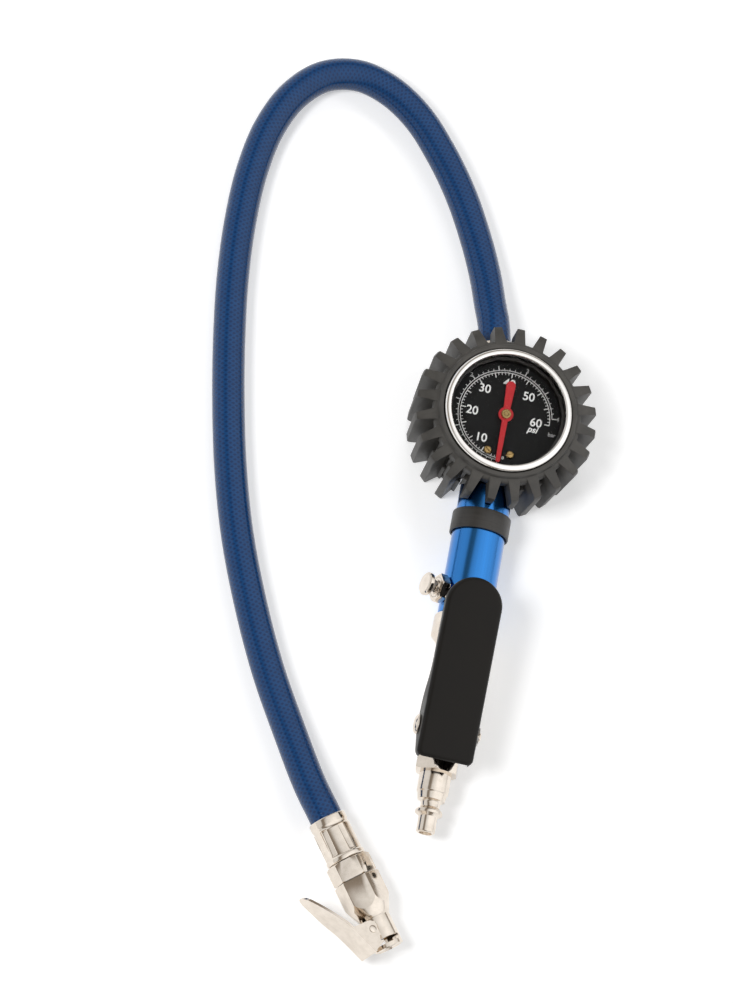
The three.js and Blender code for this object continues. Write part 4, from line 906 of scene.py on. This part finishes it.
class INFLATOR_OT_lever(Piece, Operator):
    """Pressed trigger lever with its pin and retaining ring"""

    bl_idname = "inflator.lever"
    bl_label = "Lever"

    def build(self, context):
        roll = sizes().lever_roll / MM
        outer = rolled(lever_plan(0, 14.2), 10, 32, roll)
        inner = rolled(lever_plan(1.6, 24.2), 8.4, 42, roll - 1.6)
        side = [(-16.2, 12), (-16.2, 4), (-12.2, 4), *arc(0, 0, 5, 1.15 * PI, 1.5 * PI, 8), (7, -5)]
        curves = (((7, -5), (13, -5), (18, 0)), ((18, 0), (22, 4.5), (29, 4.5)))
        for a, b, c in curves:
            for i in range(1, 11):
                t = i / 10
                side.append(tuple((1 - t) ** 2 * p + 2 * t * (1 - t) * q + t * t * r
                                  for p, q, r in zip(a, b, c)))
        side += [(66.5, 4.5), (66.5, 12)]
        kept = moved(prism(side, -24, 24), Matrix(((0, 0, 1, 0), (1, 0, 0, 0), (0, 1, 0, 0),
                                                   (0, 0, 0, 1))))
        hole = moved(rod(2.3, -24, 24), ALONG_LEFT)
        shell = carved(outer, ("DIFFERENCE", inner), ("INTERSECT", kept), ("DIFFERENCE", hole))
        place("trigger_lever", shell, LEVER, satin_black_paint(), "lever",
              ["lever"], sharp=40, bevel=0.00025)
        where = HANDLE @ Matrix.Translation((0, PIVOT_Y, PIVOT_Z)) @ ALONG_LEFT
        pin = turned([(0, -14.3), (1.6, -14.3), (2, -13.9), (2, -13.4), (1.5, -13.4),
                      (1.5, -12.3), (2, -12.3), (2, 12.3), (4.3, 12.3), (4.3, 12.8),
                      (3.9, 13.4), (3.2, 13.9), (2.2, 14.2), (1.1, 14.37), (0, 14.4)], 64,
                     soft=0.08)
        place("pivot_pin", pin, where, nickel_plate(), "handle", ["lever_pin"])
        ring = turned([(1.7, -13.25), (4.1, -13.25), (4.1, -12.45), (1.7, -12.45)], 64,
                      closed=True)
        mouth = block(0, 6, -1.3, 1.3, -15, -11)
        clip = carved(ring, ("DIFFERENCE", mouth))
        place("pin_ring", clip, where, drawn_wire(), "handle",
              ["lever_pin_clip"])


class INFLATOR_OT_bleed_valve(Piece, Operator):
    """Bleed valve with its push button"""

    bl_idname = "inflator.bleed_valve"
    bl_label = "Bleed valve"

    def build(self, context):
        where = BLEED @ ALONG_LEFT
        body = turned([(1.9, 8.3), (2.9, 8.3), (2.9, 11.9), (4.6, 11.9), (4.6, 15.6),
                       (3.2, 15.6), (3.2, 16.4), (1.9, 16.4)], 64, closed=True, soft=0.1)
        corner = 10.8 / 2 / math.cos(PI / 6)
        cone = turned([(0, 11.9), (corner - 0.5, 11.9), (corner + 0.1, 12.3),
                       (corner + 0.1, 15.2), (corner - 0.5, 15.6), (0, 15.6)], 64)
        nut = carved(hexagon(10.8, 11, 16.5, math.radians(10)), ("INTERSECT", cone),
                     ("DIFFERENCE", rod(4.2, 10, 17)))
        soft_edges(nut, 0.1, 25)
        place("bleed_sleeve", body, where, nickel_plate(), "handle", ["bleed_body"])
        place("bleed_hexagon", nut, where, nickel_plate(), "handle", ["bleed_body"],
              sharp=20)
        disc = 18.9
        button = turned([(0, 6.3), (2.6, 6.3), (2.6, 7.1), (1.6, 7.1), (1.6, disc + 1.3),
                         (3.5, disc + 1.3), (3.5, disc), (4.6, disc), (5, disc + 0.4),
                         (5, disc + 1.9), (4.3, disc + 2.5), (0, disc + 2.7)], 72, soft=0.12)
        place("bleed_cap", button, where, nickel_plate(), "bleed_button",
              ["bleed_button"])


# ------------------------------------------------------------------ gauge
class INFLATOR_OT_gauge(Piece, Operator):
    """Polished bezel and lens; the gauge case keeps its imported shape"""

    bl_idname = "inflator.gauge"
    bl_label = "Gauge body"

    def build(self, context):
        seat, opening = 25.5, 24.7
        top = BEZEL_TOP
        bezel = turned([
            (seat, top - 8.9), (BEZEL_R, top - 8.9), (BEZEL_R, top - 1.6), (27.35, top - 0.9),
            (26.9, top - 0.35), (26.2, top - 0.05), (25.5, top), (25.0, top - 0.12),
            (opening, top - 0.5), (opening, 21.3), (seat, 21.3)], 192, closed=True, soft=0.2)
        place("polished_bezel", bezel, HANDLE, polished_chrome(), "handle",
              ["gauge_bezel"])
        lens = turned([(0, 18.9), (25.1, 18.9), (25.1, 21.0), (0, 21.0)], 128, soft=0.1)
        place("clear_window", lens, HANDLE, clear_lens(), "handle",
              ["gauge_lens"])


SCALE_START = -90.0
PSI_STEP = -4.5
BAR = 14.5038
PSI_R, BAR_R = 19.4, 20.35


def dial_angle(psi):
    """Direction of a pressure on the dial, in radians from +X; the scale runs clockwise."""
    return math.radians(SCALE_START + PSI_STEP * psi)


def dial_mark(angle, inner, outer, width):
    """One printed line of the scale as a thin bar from inner to outer radius."""
    thick = sizes().tick_depth / MM
    bar = block(inner, outer, -width / 2, width / 2, 0, thick)
    return moved(bar, Matrix.Rotation(angle, 4, "Z"))


def dial_arc(radius, start, end, width):
    """A printed arc as a thin band, spun round the dial."""
    thick = sizes().tick_depth / MM
    bm = bmesh.new()
    corners = [bm.verts.new((r, 0, z)) for r, z in (
        (radius - width / 2, 0), (radius + width / 2, 0), (radius + width / 2, thick),
        (radius - width / 2, thick))]
    face = bm.faces.new(corners)
    bmesh.ops.rotate(bm, verts=bm.verts, cent=(0, 0, 0), matrix=Matrix.Rotation(start, 3, "Z"))
    bmesh.ops.spin(bm, geom=[face, *face.edges, *face.verts], cent=(0, 0, 0), axis=(0, 0, 1),
                   angle=end - start, steps=120)
    bmesh.ops.holes_fill(bm, edges=[e for e in bm.edges if e.is_boundary])
    bmesh.ops.recalc_face_normals(bm, faces=bm.faces)
    return bm


def lettering(text, size, x, y, weight=0.0, slant=0.0):
    """Generic figures or a unit as a thin flat shape, centred on a point of the dial."""
    words = bpy.data.curves.new("figures", "FONT")
    words.body = text
    words.size = size
    words.align_x = "CENTER"
    words.align_y = "CENTER"
    words.offset = weight
    words.shear = slant
    words.extrude = sizes().tick_depth / MM / 2
    words.resolution_u = 6
    thing = bpy.data.objects.new("figures", words)
    bpy.context.scene.collection.objects.link(thing)
    flat = settled(thing)
    low = [min(v.co[i] for v in flat.verts) for i in range(2)]
    high = [max(v.co[i] for v in flat.verts) for i in range(2)]
    bmesh.ops.remove_doubles(flat, verts=flat.verts, dist=1e-4)
    lift = sizes().tick_depth / MM / 2
    return moved(flat, Matrix.Translation(
        (x - (low[0] + high[0]) / 2, y - (low[1] + high[1]) / 2, lift)))


class INFLATOR_OT_dial(Piece, Operator):
    """Dial with its two scales, figures and screws"""

    bl_idname = "inflator.dial"
    bl_label = "Dial"

    def build(self, context):
        plate = turned([(1.5, DIAL_TOP - 0.8), (23.9, DIAL_TOP - 0.8), (23.9, DIAL_TOP),
                        (1.5, DIAL_TOP)], 128, closed=True)
        holes = [("DIFFERENCE", moved(rod(1.3, DIAL_TOP - 2, DIAL_TOP + 1),
                                      Matrix.Translation((x, -17, 0)))) for x in (-4.9, 4.9)]
        place("black_dial", carved(plate, *holes), HANDLE, dial_face(), "handle",
              ["dial_plate"])

        face = HANDLE @ Matrix.Translation((0, 0, DIAL_TOP + 0.01))
        marks = [dial_arc(PSI_R, dial_angle(60), dial_angle(0), 0.26)]
        for psi in range(61):
            major = psi % 5 == 0
            marks.append(dial_mark(dial_angle(psi), PSI_R - (2.1 if major else 1.0), PSI_R,
                                   0.36 if major else 0.23))
        marks.append(dial_arc(BAR_R, dial_angle(4 * BAR), dial_angle(0), 0.24))
        for tenth in range(41):
            major = tenth % 5 == 0
            marks.append(dial_mark(dial_angle(tenth / 10 * BAR), BAR_R,
                                   BAR_R + (1.9 if major else 0.95), 0.32 if major else 0.2))
        tall = sizes().figure_height / MM / 0.7
        for psi, at, radius in ((10, 7.6, 14.3), (20, 19.4, 14.3), (30, 29.8, 14.6),
                                (40, 39.5, 14.8), (50, 48.6, 13.9), (60, 60.0, 13.6)):
            angle = dial_angle(at)
            marks.append(lettering(str(psi), tall, radius * math.cos(angle),
                                   radius * math.sin(angle), weight=0.07))
        marks.append(lettering("psi", 3.9, 12.7, -3.9, weight=0.08, slant=0.3))
        marks.append(lettering("0", 1.9, 2.1, -18.9, weight=0.03))
        place("scale_print", together(*marks), face, white_print(), "handle")

        fine = []
        for units in (2, 3, 4):
            angle = dial_angle(units * BAR)
            fine.append(lettering(str(units), 2.9, 22.8 * math.cos(angle),
                                  22.9 * math.sin(angle), weight=0.02))
        fine.append(lettering("bar", 2.5, 21.2, -3.9, weight=0.02))
        place("fine_print", together(*fine), face, grey_print(), "handle")

        for name, node, x in (("screw_left", "dial_screw_left", -4.9),
                              ("screw_right", "dial_screw_right", 4.9)):
            head = turned([(0, 10.6), (1, 10.6), (1, DIAL_TOP + 0.2), (1.75, DIAL_TOP + 0.2),
                           (1.75, DIAL_TOP + 0.65), (1.35, DIAL_TOP + 1.0),
                           (0, DIAL_TOP + 1.1)], 40, soft=0.06)
            slot = moved(block(-3, 3, -0.22, 0.22, DIAL_TOP + 0.6, DIAL_TOP + 2),
                         Matrix.Rotation(math.radians(25 if x > 0 else -40), 4, "Z"))
            place(name, carved(head, ("DIFFERENCE", slot)),
                  HANDLE @ Matrix.Translation((x, -17, 0)), machined_brass(), "handle",
                  [node])


class INFLATOR_OT_pointer(Piece, Operator):
    """Red pointer on its brass boss"""

    bl_idname = "inflator.pointer"
    bl_label = "Pointer"

    def build(self, context):
        low, high = BLADE_TOP - 0.6, BLADE_TOP
        outline = [(-1.3, 0), *arc(0, -20.9, 0.95, PI, 2 * PI, 12), (1.3, 0),
                   *arc(0, 13.2, 2.0, 0, PI, 20)]
        blade = carved(prism(outline, low, high), ("UNION", rod(3.2, low, high + 0.1, 64)),
                       ("DIFFERENCE", rod(0.95, low - 1, high + 2)))
        place("red_pointer", blade, HANDLE, red_enamel(), "pointer",
              ["pointer"], bevel=0.00008)
        boss = turned([(0, high + 0.1), (2.05, high + 0.1), (2.05, high + 0.8),
                       (1.7, high + 0.95), (0.62, high + 0.95), (0.5, high + 0.7),
                       (0, high + 0.7)], 48, soft=0.06)
        place("pointer_boss", boss, HANDLE, machined_brass(), "pointer")


class INFLATOR_OT_boot(Piece, Operator):
    """Moulded rubber boot with a lugged tread"""

    bl_idname = "inflator.boot"
    bl_label = "Boot"

    def build(self, context):
        edge = sizes().boot_edge / MM
        low, top = -AXIS_Z, BEZEL_TOP - 1.4
        out, rim_in, rim_out = 30.5, 27.8, 31.9
        rim_low, lip = top - 7.8, -8.2
        shell = turned([
            (21, low), (out - 1, low), (out, low + 1), (out, rim_low - 3),
            (rim_out, rim_low + 1.6), (rim_out, top - 2.8), (rim_out - 0.9, top - 1.9),
            (rim_out - 1.7, top - 1.8), (rim_out - 2.2, top), (rim_in, top), (rim_in, rim_low),
            (25.5, rim_low), (25.5, lip), (21, lip)], 144, closed=True, soft=edge)
        front = top - 1.7
        envelope = turned([
            (0, low), (LUG_R - 2.6, low), (LUG_R - 1.6, low + 1), (LUG_R, front - 4.6),
            (LUG_R - 0.6, front - 2.6),
            (rim_out - 0.4, front), (0, front)], 144)
        half = [(28.5, 3.0), (32.7, 2.3), (LUG_R - 0.6, 1.6), (LUG_R + 1, 1.1)]
        plan = [(x, -y) for x, y in half] + [(x, y) for x, y in reversed(half)]
        lug = carved(prism(plan, low, front + 1), ("INTERSECT", envelope))
        soft_edges(lug, edge, 22, 3)
        pitch = 2 * PI / 24
        lugs = [self.turn(lug.copy(), pitch * i) for i in range(24)]
        width = 2 * PI * out / 48
        high_pad = soft_edges(block(out - 2, 32.7, 0.1, width, -2, rim_low - 3.6), edge, 30, 3)
        low_pad = soft_edges(block(out - 2, 31.9, -width, -0.1, low + 1.2, 2), edge, 30, 3)
        pads = [self.turn(pad.copy(), pitch * (i + 0.5))
                for i in range(24) for pad in (high_pad, low_pad)]
        lug.free()
        high_pad.free()
        low_pad.free()
        tube_notch = self.notch(12.3, -LUG_R - 1, -21.2)
        hose_notch = self.turn(self.notch(8.9, 19.2, LUG_R + 1), HOSE_EXIT)
        boot = carved(shell, ("UNION", together(*lugs)), ("UNION", together(*pads)),
                      ("DIFFERENCE", tube_notch), ("DIFFERENCE", hose_notch))
        place("rubber_boot", boot, HANDLE, moulded_rubber(), "handle",
              ["gauge_boot"], sharp=50)

    def turn(self, bm, angle):
        return moved(bm, Matrix.Rotation(angle, 4, "Z"))

    def notch(self, radius, start, end):
        plan = [(radius, -20), *arc(0, 0, radius, 0, PI, 32), (-radius, -20)]
        return moved(prism(plan, start, end), Matrix(((1, 0, 0, 0), (0, 0, 1, 0),
                                                      (0, 1, 0, 0), (0, 0, 0, 1))))


# ------------------------------------------------------------------ hose fittings and chuck
class INFLATOR_OT_fittings(Piece, Operator):
    """Hose sleeve, pressed ferrule and nut"""

    bl_idname = "inflator.fittings"
    bl_label = "Hose fittings"

    def build(self, context):
        sleeve = turned([(6.3, 27.5), (7.5, 27.5), (8.1, 28.1), (8.1, 36.5), (7.7, 36.9),
                         (7.3, 36.9), (7.3, 33), (6.3, 33)], 72, closed=True, soft=0.1)
        lean = Matrix.Rotation(HOSE_EXIT, 4, "Z")
        place("hose_collar", sleeve, HANDLE @ lean @ ALONG_Y, nickel_plate(), "handle",
              ["hose_sleeve"])
        wall = 8.1
        end = 19.2
        ferrule = turned([
            (0, 3.3), (7.3, 3.3), (7.3, 0), (wall - 0.3, 0), (wall, 0.3), (wall, 3.2),
            (wall - 0.35, 3.9), (wall - 0.35, 4.4), (wall, 5.1), (wall, end - 2.4),
            (wall + 0.4, end - 1.9), (wall + 0.4, end - 0.5), (wall, end), (0, end)], 96,
            soft=0.16)
        flutes = []
        for i in range(6):
            flute = block(-1.7, 1.7, 0, 2.6, 4.7, 16.6)
            soft_edges(flute, 0.75, 30, 4)
            tilt = (Matrix.Rotation(PI / 3 * i, 4, "Z")
                    @ Matrix.Translation((0, wall - 0.55, 16.6))
                    @ Matrix.Rotation(math.radians(-2.6), 4, "X")
                    @ Matrix.Translation((0, 0, -16.6)))
            flutes.append(moved(flute, tilt))
        ferrule = carved(ferrule, ("DIFFERENCE", together(*flutes)))
        place("pressed_ferrule", ferrule, CHUCK @ ALONG_Y, nickel_plate(), "handle",
              ["chuck_ferrule"], bevel=0.00012)
        corner = 16.7 / 2 / math.cos(PI / 6)
        start, stop = CHUCK_NUT_START, CHUCK_NUT_START + 8.2
        cone = turned([(0, start), (corner - 0.9, start), (corner + 0.1, start + 0.7),
                       (corner + 0.1, stop - 0.5), (corner - 0.6, stop), (0, stop)], 96)
        nut = carved(hexagon(16.7, start - 1, stop + 1, math.radians(38)), ("INTERSECT", cone))
        soft_edges(nut, 0.16, 25)
        place("hex_nut", nut, CHUCK @ ALONG_Y, nickel_plate(), "handle",
              ["chuck_nut"], sharp=20)


class INFLATOR_OT_chuck(Piece, Operator):
    """Clip-on chuck's body, washer and depressor"""

    bl_idname = "inflator.chuck"
    bl_label = "Chuck"

    def build(self, context):
        start, hex_end, bar = CHUCK_BODY_START, CHUCK_BODY_START + 17.8, 6.3
        corner = 17.2 / 2 / math.cos(PI / 6)
        barrel = turned([(0, start + 2), (bar, start + 2), (bar, MOUTH - 0.4),
                         (bar - 0.4, MOUTH), (0, MOUTH)], 96)
        cone = turned([
            (0, start), (corner - 0.5, start), (corner + 0.1, start + 0.5),
            (corner + 0.1, hex_end - 8.2), (corner - 0.3, hex_end - 6.8),
            (corner - 1.1, hex_end - 4.9), (corner - 2.4, hex_end - 2),
            (corner - 3.2, hex_end - 0.5), (bar, hex_end), (0, hex_end)], 96)
        hexagonal = carved(hexagon(17.2, start - 1, hex_end + 1, math.radians(38)),
                           ("INTERSECT", cone))
        soft_edges(hexagonal, 0.16, 25)
        pin_x, pin_y = CLIP_PIVOT
        lug = moved(block(0, pin_x + 2.2, pin_y - 3.2, pin_y + 3.2, -4.8, 4.8),
                    ALONG_Y.inverted())
        seat = moved(block(pin_x - 2.3, pin_x + 3, pin_y - 4, pin_y + 4, -1.9, 1.9),
                     ALONG_Y.inverted())
        bore = turned([(0, MOUTH - 16), (4.5, MOUTH - 16), (4.5, MOUTH - 0.8), (5.3, MOUTH),
                       (5.3, MOUTH + 1), (0, MOUTH + 1)], 96)
        airway = rod(2.2, start - 1, MOUTH - 15)
        slot = moved(block(-3, bar + 1, MOUTH - 4.4, MOUTH - 2, -10, 10), ALONG_Y.inverted())
        body = carved(barrel, ("UNION", hexagonal), ("UNION", lug), ("DIFFERENCE", seat),
                      ("DIFFERENCE", bore), ("DIFFERENCE", airway), ("DIFFERENCE", slot))
        place("chuck_barrel", body, CHUCK @ ALONG_Y, nickel_plate(), "handle",
              ["chuck_body"], sharp=28)
        low = MOUTH - 15.7
        disc = turned([(0, low), (4.2, low), (4.2, low + 1.4), (1, low + 1.4),
                       (1, MOUTH - 6.6), (0.6, MOUTH - 6.2), (0, MOUTH - 6.2)], 48, soft=0.08)
        vents = [("DIFFERENCE", moved(rod(0.9, low - 1, low + 2, 24), Matrix.Rotation(
            2 * PI / 3 * i, 4, "Z") @ Matrix.Translation((2.5, 0, 0)))) for i in range(3)]
        place("depressor", carved(disc, *vents), CHUCK @ ALONG_Y, machined_brass(), "handle",
              ["depressor_pin"])
        washer = turned([(1.7, MOUTH - 10.2), (4.2, MOUTH - 10.2), (4.2, MOUTH - 7.4),
                         (1.7, MOUTH - 7.4)], 64, closed=True, soft=0.3)
        place("chuck_washer", washer, CHUCK @ ALONG_Y, band_rubber(), "handle",
              ["chuck_seal"])



def quadratic(a, b, c, steps=10):
    """Points after a on a quadratic curve towards c, pulled by b."""
    return [tuple((1 - t) ** 2 * p + 2 * t * (1 - t) * q + t * t * r for p, q, r in zip(a, b, c))
            for t in (i / steps for i in range(1, steps + 1))]


def through(points, steps=14):
    """A smooth line through a few points, with its direction at each step."""
    ends = [points[0], *points, points[-1]]
    line = []
    for a, b, c, d in zip(ends, ends[1:], ends[2:], ends[3:]):
        a, b, c, d = (Vector(p) for p in (a, b, c, d))
        for i in range(steps):
            t = i / steps
            line.append(0.5 * (2 * b + (c - a) * t + (2 * a - 5 * b + 4 * c - d) * t * t
                               + (3 * b - a - 3 * c + d) * t ** 3))
    line.append(Vector(points[-1]))
    ways = [(q - p).normalized() for p, q in zip([line[0], *line], [*line[1:], line[-1]])]
    return list(zip(line, ways))


def coil(radius, wire, low, high, turns):
    """A wire spring about Z."""
    bm = bmesh.new()
    section = Matrix.Translation((radius, 0, low)) @ Matrix.Rotation(PI / 2, 4, "X")
    bmesh.ops.create_circle(bm, cap_ends=False, segments=8, radius=wire, matrix=section)
    steps = int(turns * 24)
    bmesh.ops.spin(bm, geom=bm.verts[:] + bm.edges[:], cent=(0, 0, 0), axis=(0, 0, 1),
                   dvec=(0, 0, (high - low) / steps), angle=2 * PI * turns, steps=steps)
    bmesh.ops.holes_fill(bm, edges=[e for e in bm.edges if e.is_boundary])
    bmesh.ops.recalc_face_normals(bm, faces=bm.faces)
    return bm


class INFLATOR_OT_clip(Piece, Operator):
    """Sprung thumb clip on the chuck"""

    bl_idname = "inflator.clip"
    bl_label = "Clip"

    def build(self, context):
        pin_x, pin_y = CLIP_PIVOT
        half, sheet = 6.3, 1.2
        heel = (pin_x + 2.9, MOUTH - 0.3)
        knee = (pin_x + 8.1, pin_y - 3.4)
        tip = (pin_x + 21.4, pin_y - 24.2)
        line = through([heel, knee, (pin_x + 12.4, pin_y - 10.6), (pin_x + 17.4, pin_y - 18.4),
                        tip])
        near = [(p.x - w.y * sheet / 2, p.y + w.x * sheet / 2) for p, w in line]
        far = [(p.x + w.y * sheet / 2, p.y - w.x * sheet / 2) for p, w in line]
        strip = prism(near + far[::-1], -half, half)
        end = tip[1]
        plan = [(MOUTH + 2, -half), (pin_y - 5, -half)]
        plan += quadratic(plan[-1], (pin_y - 12, -half), (end + 3, -2.9), 14)
        plan += quadratic(plan[-1], (end - 1.4, 0), (end + 3, 2.9), 14)
        plan += quadratic(plan[-1], (pin_y - 12, half), (pin_y - 5, half), 14)
        plan += [(MOUTH + 2, half)]
        across = Matrix(((0, 0, 1, 0), (1, 0, 0, 0), (0, 1, 0, 0), (0, 0, 0, 1)))
        width = moved(prism(plan, -60, 60), across)
        ear = [(pin_x - 2.7, pin_y - 1.6)]
        ear += quadratic(ear[-1], (pin_x - 1.6, pin_y - 3.9), (pin_x + 1, pin_y - 3.9), 8)
        ear += [(knee[0], knee[1] - 0.3), (heel[0], heel[1] - 0.4), (pin_x - 0.9, MOUTH - 2.4)]
        slot = MOUTH - 4
        jaw = carved(block(3.6, heel[0] + 1.4, slot, slot + 1, -4.2, 4.2),
                     ("DIFFERENCE", moved(rod(3.9, slot - 1, slot + 2, 64), ALONG_Y)))
        hole = moved(rod(1.2, -9, 9, 40), Matrix.Translation((pin_x, pin_y, 0)))
        clip = carved(strip, ("INTERSECT", width), ("UNION", prism(ear, half - sheet, half)),
                      ("UNION", prism(ear, -half, sheet - half)), ("UNION", jaw),
                      ("DIFFERENCE", hole))
        place("thumb_clip", clip, CHUCK, nickel_plate(), "chuck_clip",
              ["chuck_clip"], bevel=0.00016)
        where = CHUCK @ Matrix.Translation((pin_x, pin_y, 0))
        rivet = turned([(0, -6.85), (0.9, -6.8), (1.5, -6.6), (1.6, -6.35), (0.9, -6.35),
                        (0.9, 6.35), (1.6, 6.35), (1.5, 6.6), (0.9, 6.8), (0, 6.85)], 40)
        place("clip_rivet", rivet, where, nickel_plate(), "handle", ["clip_pin"])
        place("clip_coil", coil(1.65, 0.3, -1.3, 1.3, 3), where, drawn_wire(), "handle",
              ["clip_spring"])
        place("bleed_coil", coil(2.6, 0.25, 16.95, 18.35, 2), BLEED @ ALONG_LEFT, drawn_wire(),
              "handle", ["bleed_spring"])


class INFLATOR_OT_inner_parts(Piece, Operator):
    """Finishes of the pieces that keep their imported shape"""

    bl_idname = "inflator.inner_parts"
    bl_label = "Inner parts"

    def build(self, context):
        looks = {
            machined_brass: ("gauge_manifold", "movement_frame", "bourdon_tube",
                             "gauge_socket", "sector_gear", "pointer_shaft"),
            satin_black_paint: ("gauge_case",),
            band_rubber: ("lens_gasket", "valve_seal", "bleed_seal"),
        }
        for look, nodes in looks.items():
            for name in nodes:
                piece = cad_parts[name]
                for holder in piece.material_slots:
                    holder.link = "OBJECT"
                    holder.material = look()


# ------------------------------------------------------------------ panel and start
ORDER = ("stage", "hose", "tube", "housing", "plug", "valve", "lever", "bleed_valve", "gauge",
         "dial", "pointer", "boot", "fittings", "chuck", "clip", "cord", "inner_parts")


class INFLATOR_PT_tools(Panel):
    """Lists the pieces, their sizes and their colours"""

    bl_idname = "INFLATOR_PT_tools"
    bl_label = "Tyre inflator"
    bl_space_type = "VIEW_3D"
    bl_region_type = "UI"
    bl_category = "Inflator"

    def draw(self, context):
        layout = self.layout
        for group in (context.scene.inflator_sizes, context.scene.inflator_finishes):
            column = layout.column(align=True)
            for name in group.__annotations__:
                column.prop(group, name)
        column = layout.column(align=True)
        for name in ORDER:
            column.operator(f"inflator.{name}")


CLASSES = (
    InflatorSizes, InflatorFinishes, INFLATOR_OT_stage, INFLATOR_OT_hose, INFLATOR_OT_cord,
    INFLATOR_OT_tube, INFLATOR_OT_housing, INFLATOR_OT_plug, INFLATOR_OT_valve,
    INFLATOR_OT_lever, INFLATOR_OT_bleed_valve, INFLATOR_OT_gauge, INFLATOR_OT_dial,
    INFLATOR_OT_pointer, INFLATOR_OT_boot, INFLATOR_OT_fittings, INFLATOR_OT_chuck,
    INFLATOR_OT_clip, INFLATOR_OT_inner_parts, INFLATOR_PT_tools,
)


def register():
    for made in CLASSES:
        bpy.utils.register_class(made)
    bpy.types.Scene.inflator_sizes = PointerProperty(type=InflatorSizes)
    bpy.types.Scene.inflator_finishes = PointerProperty(type=InflatorFinishes)


def unregister():
    del bpy.types.Scene.inflator_finishes
    del bpy.types.Scene.inflator_sizes
    for made in reversed(CLASSES):
        bpy.utils.unregister_class(made)


def main():
    register()
    for name in ORDER:
        getattr(bpy.ops.inflator, name)()


if __name__ == "__main__":
    main()
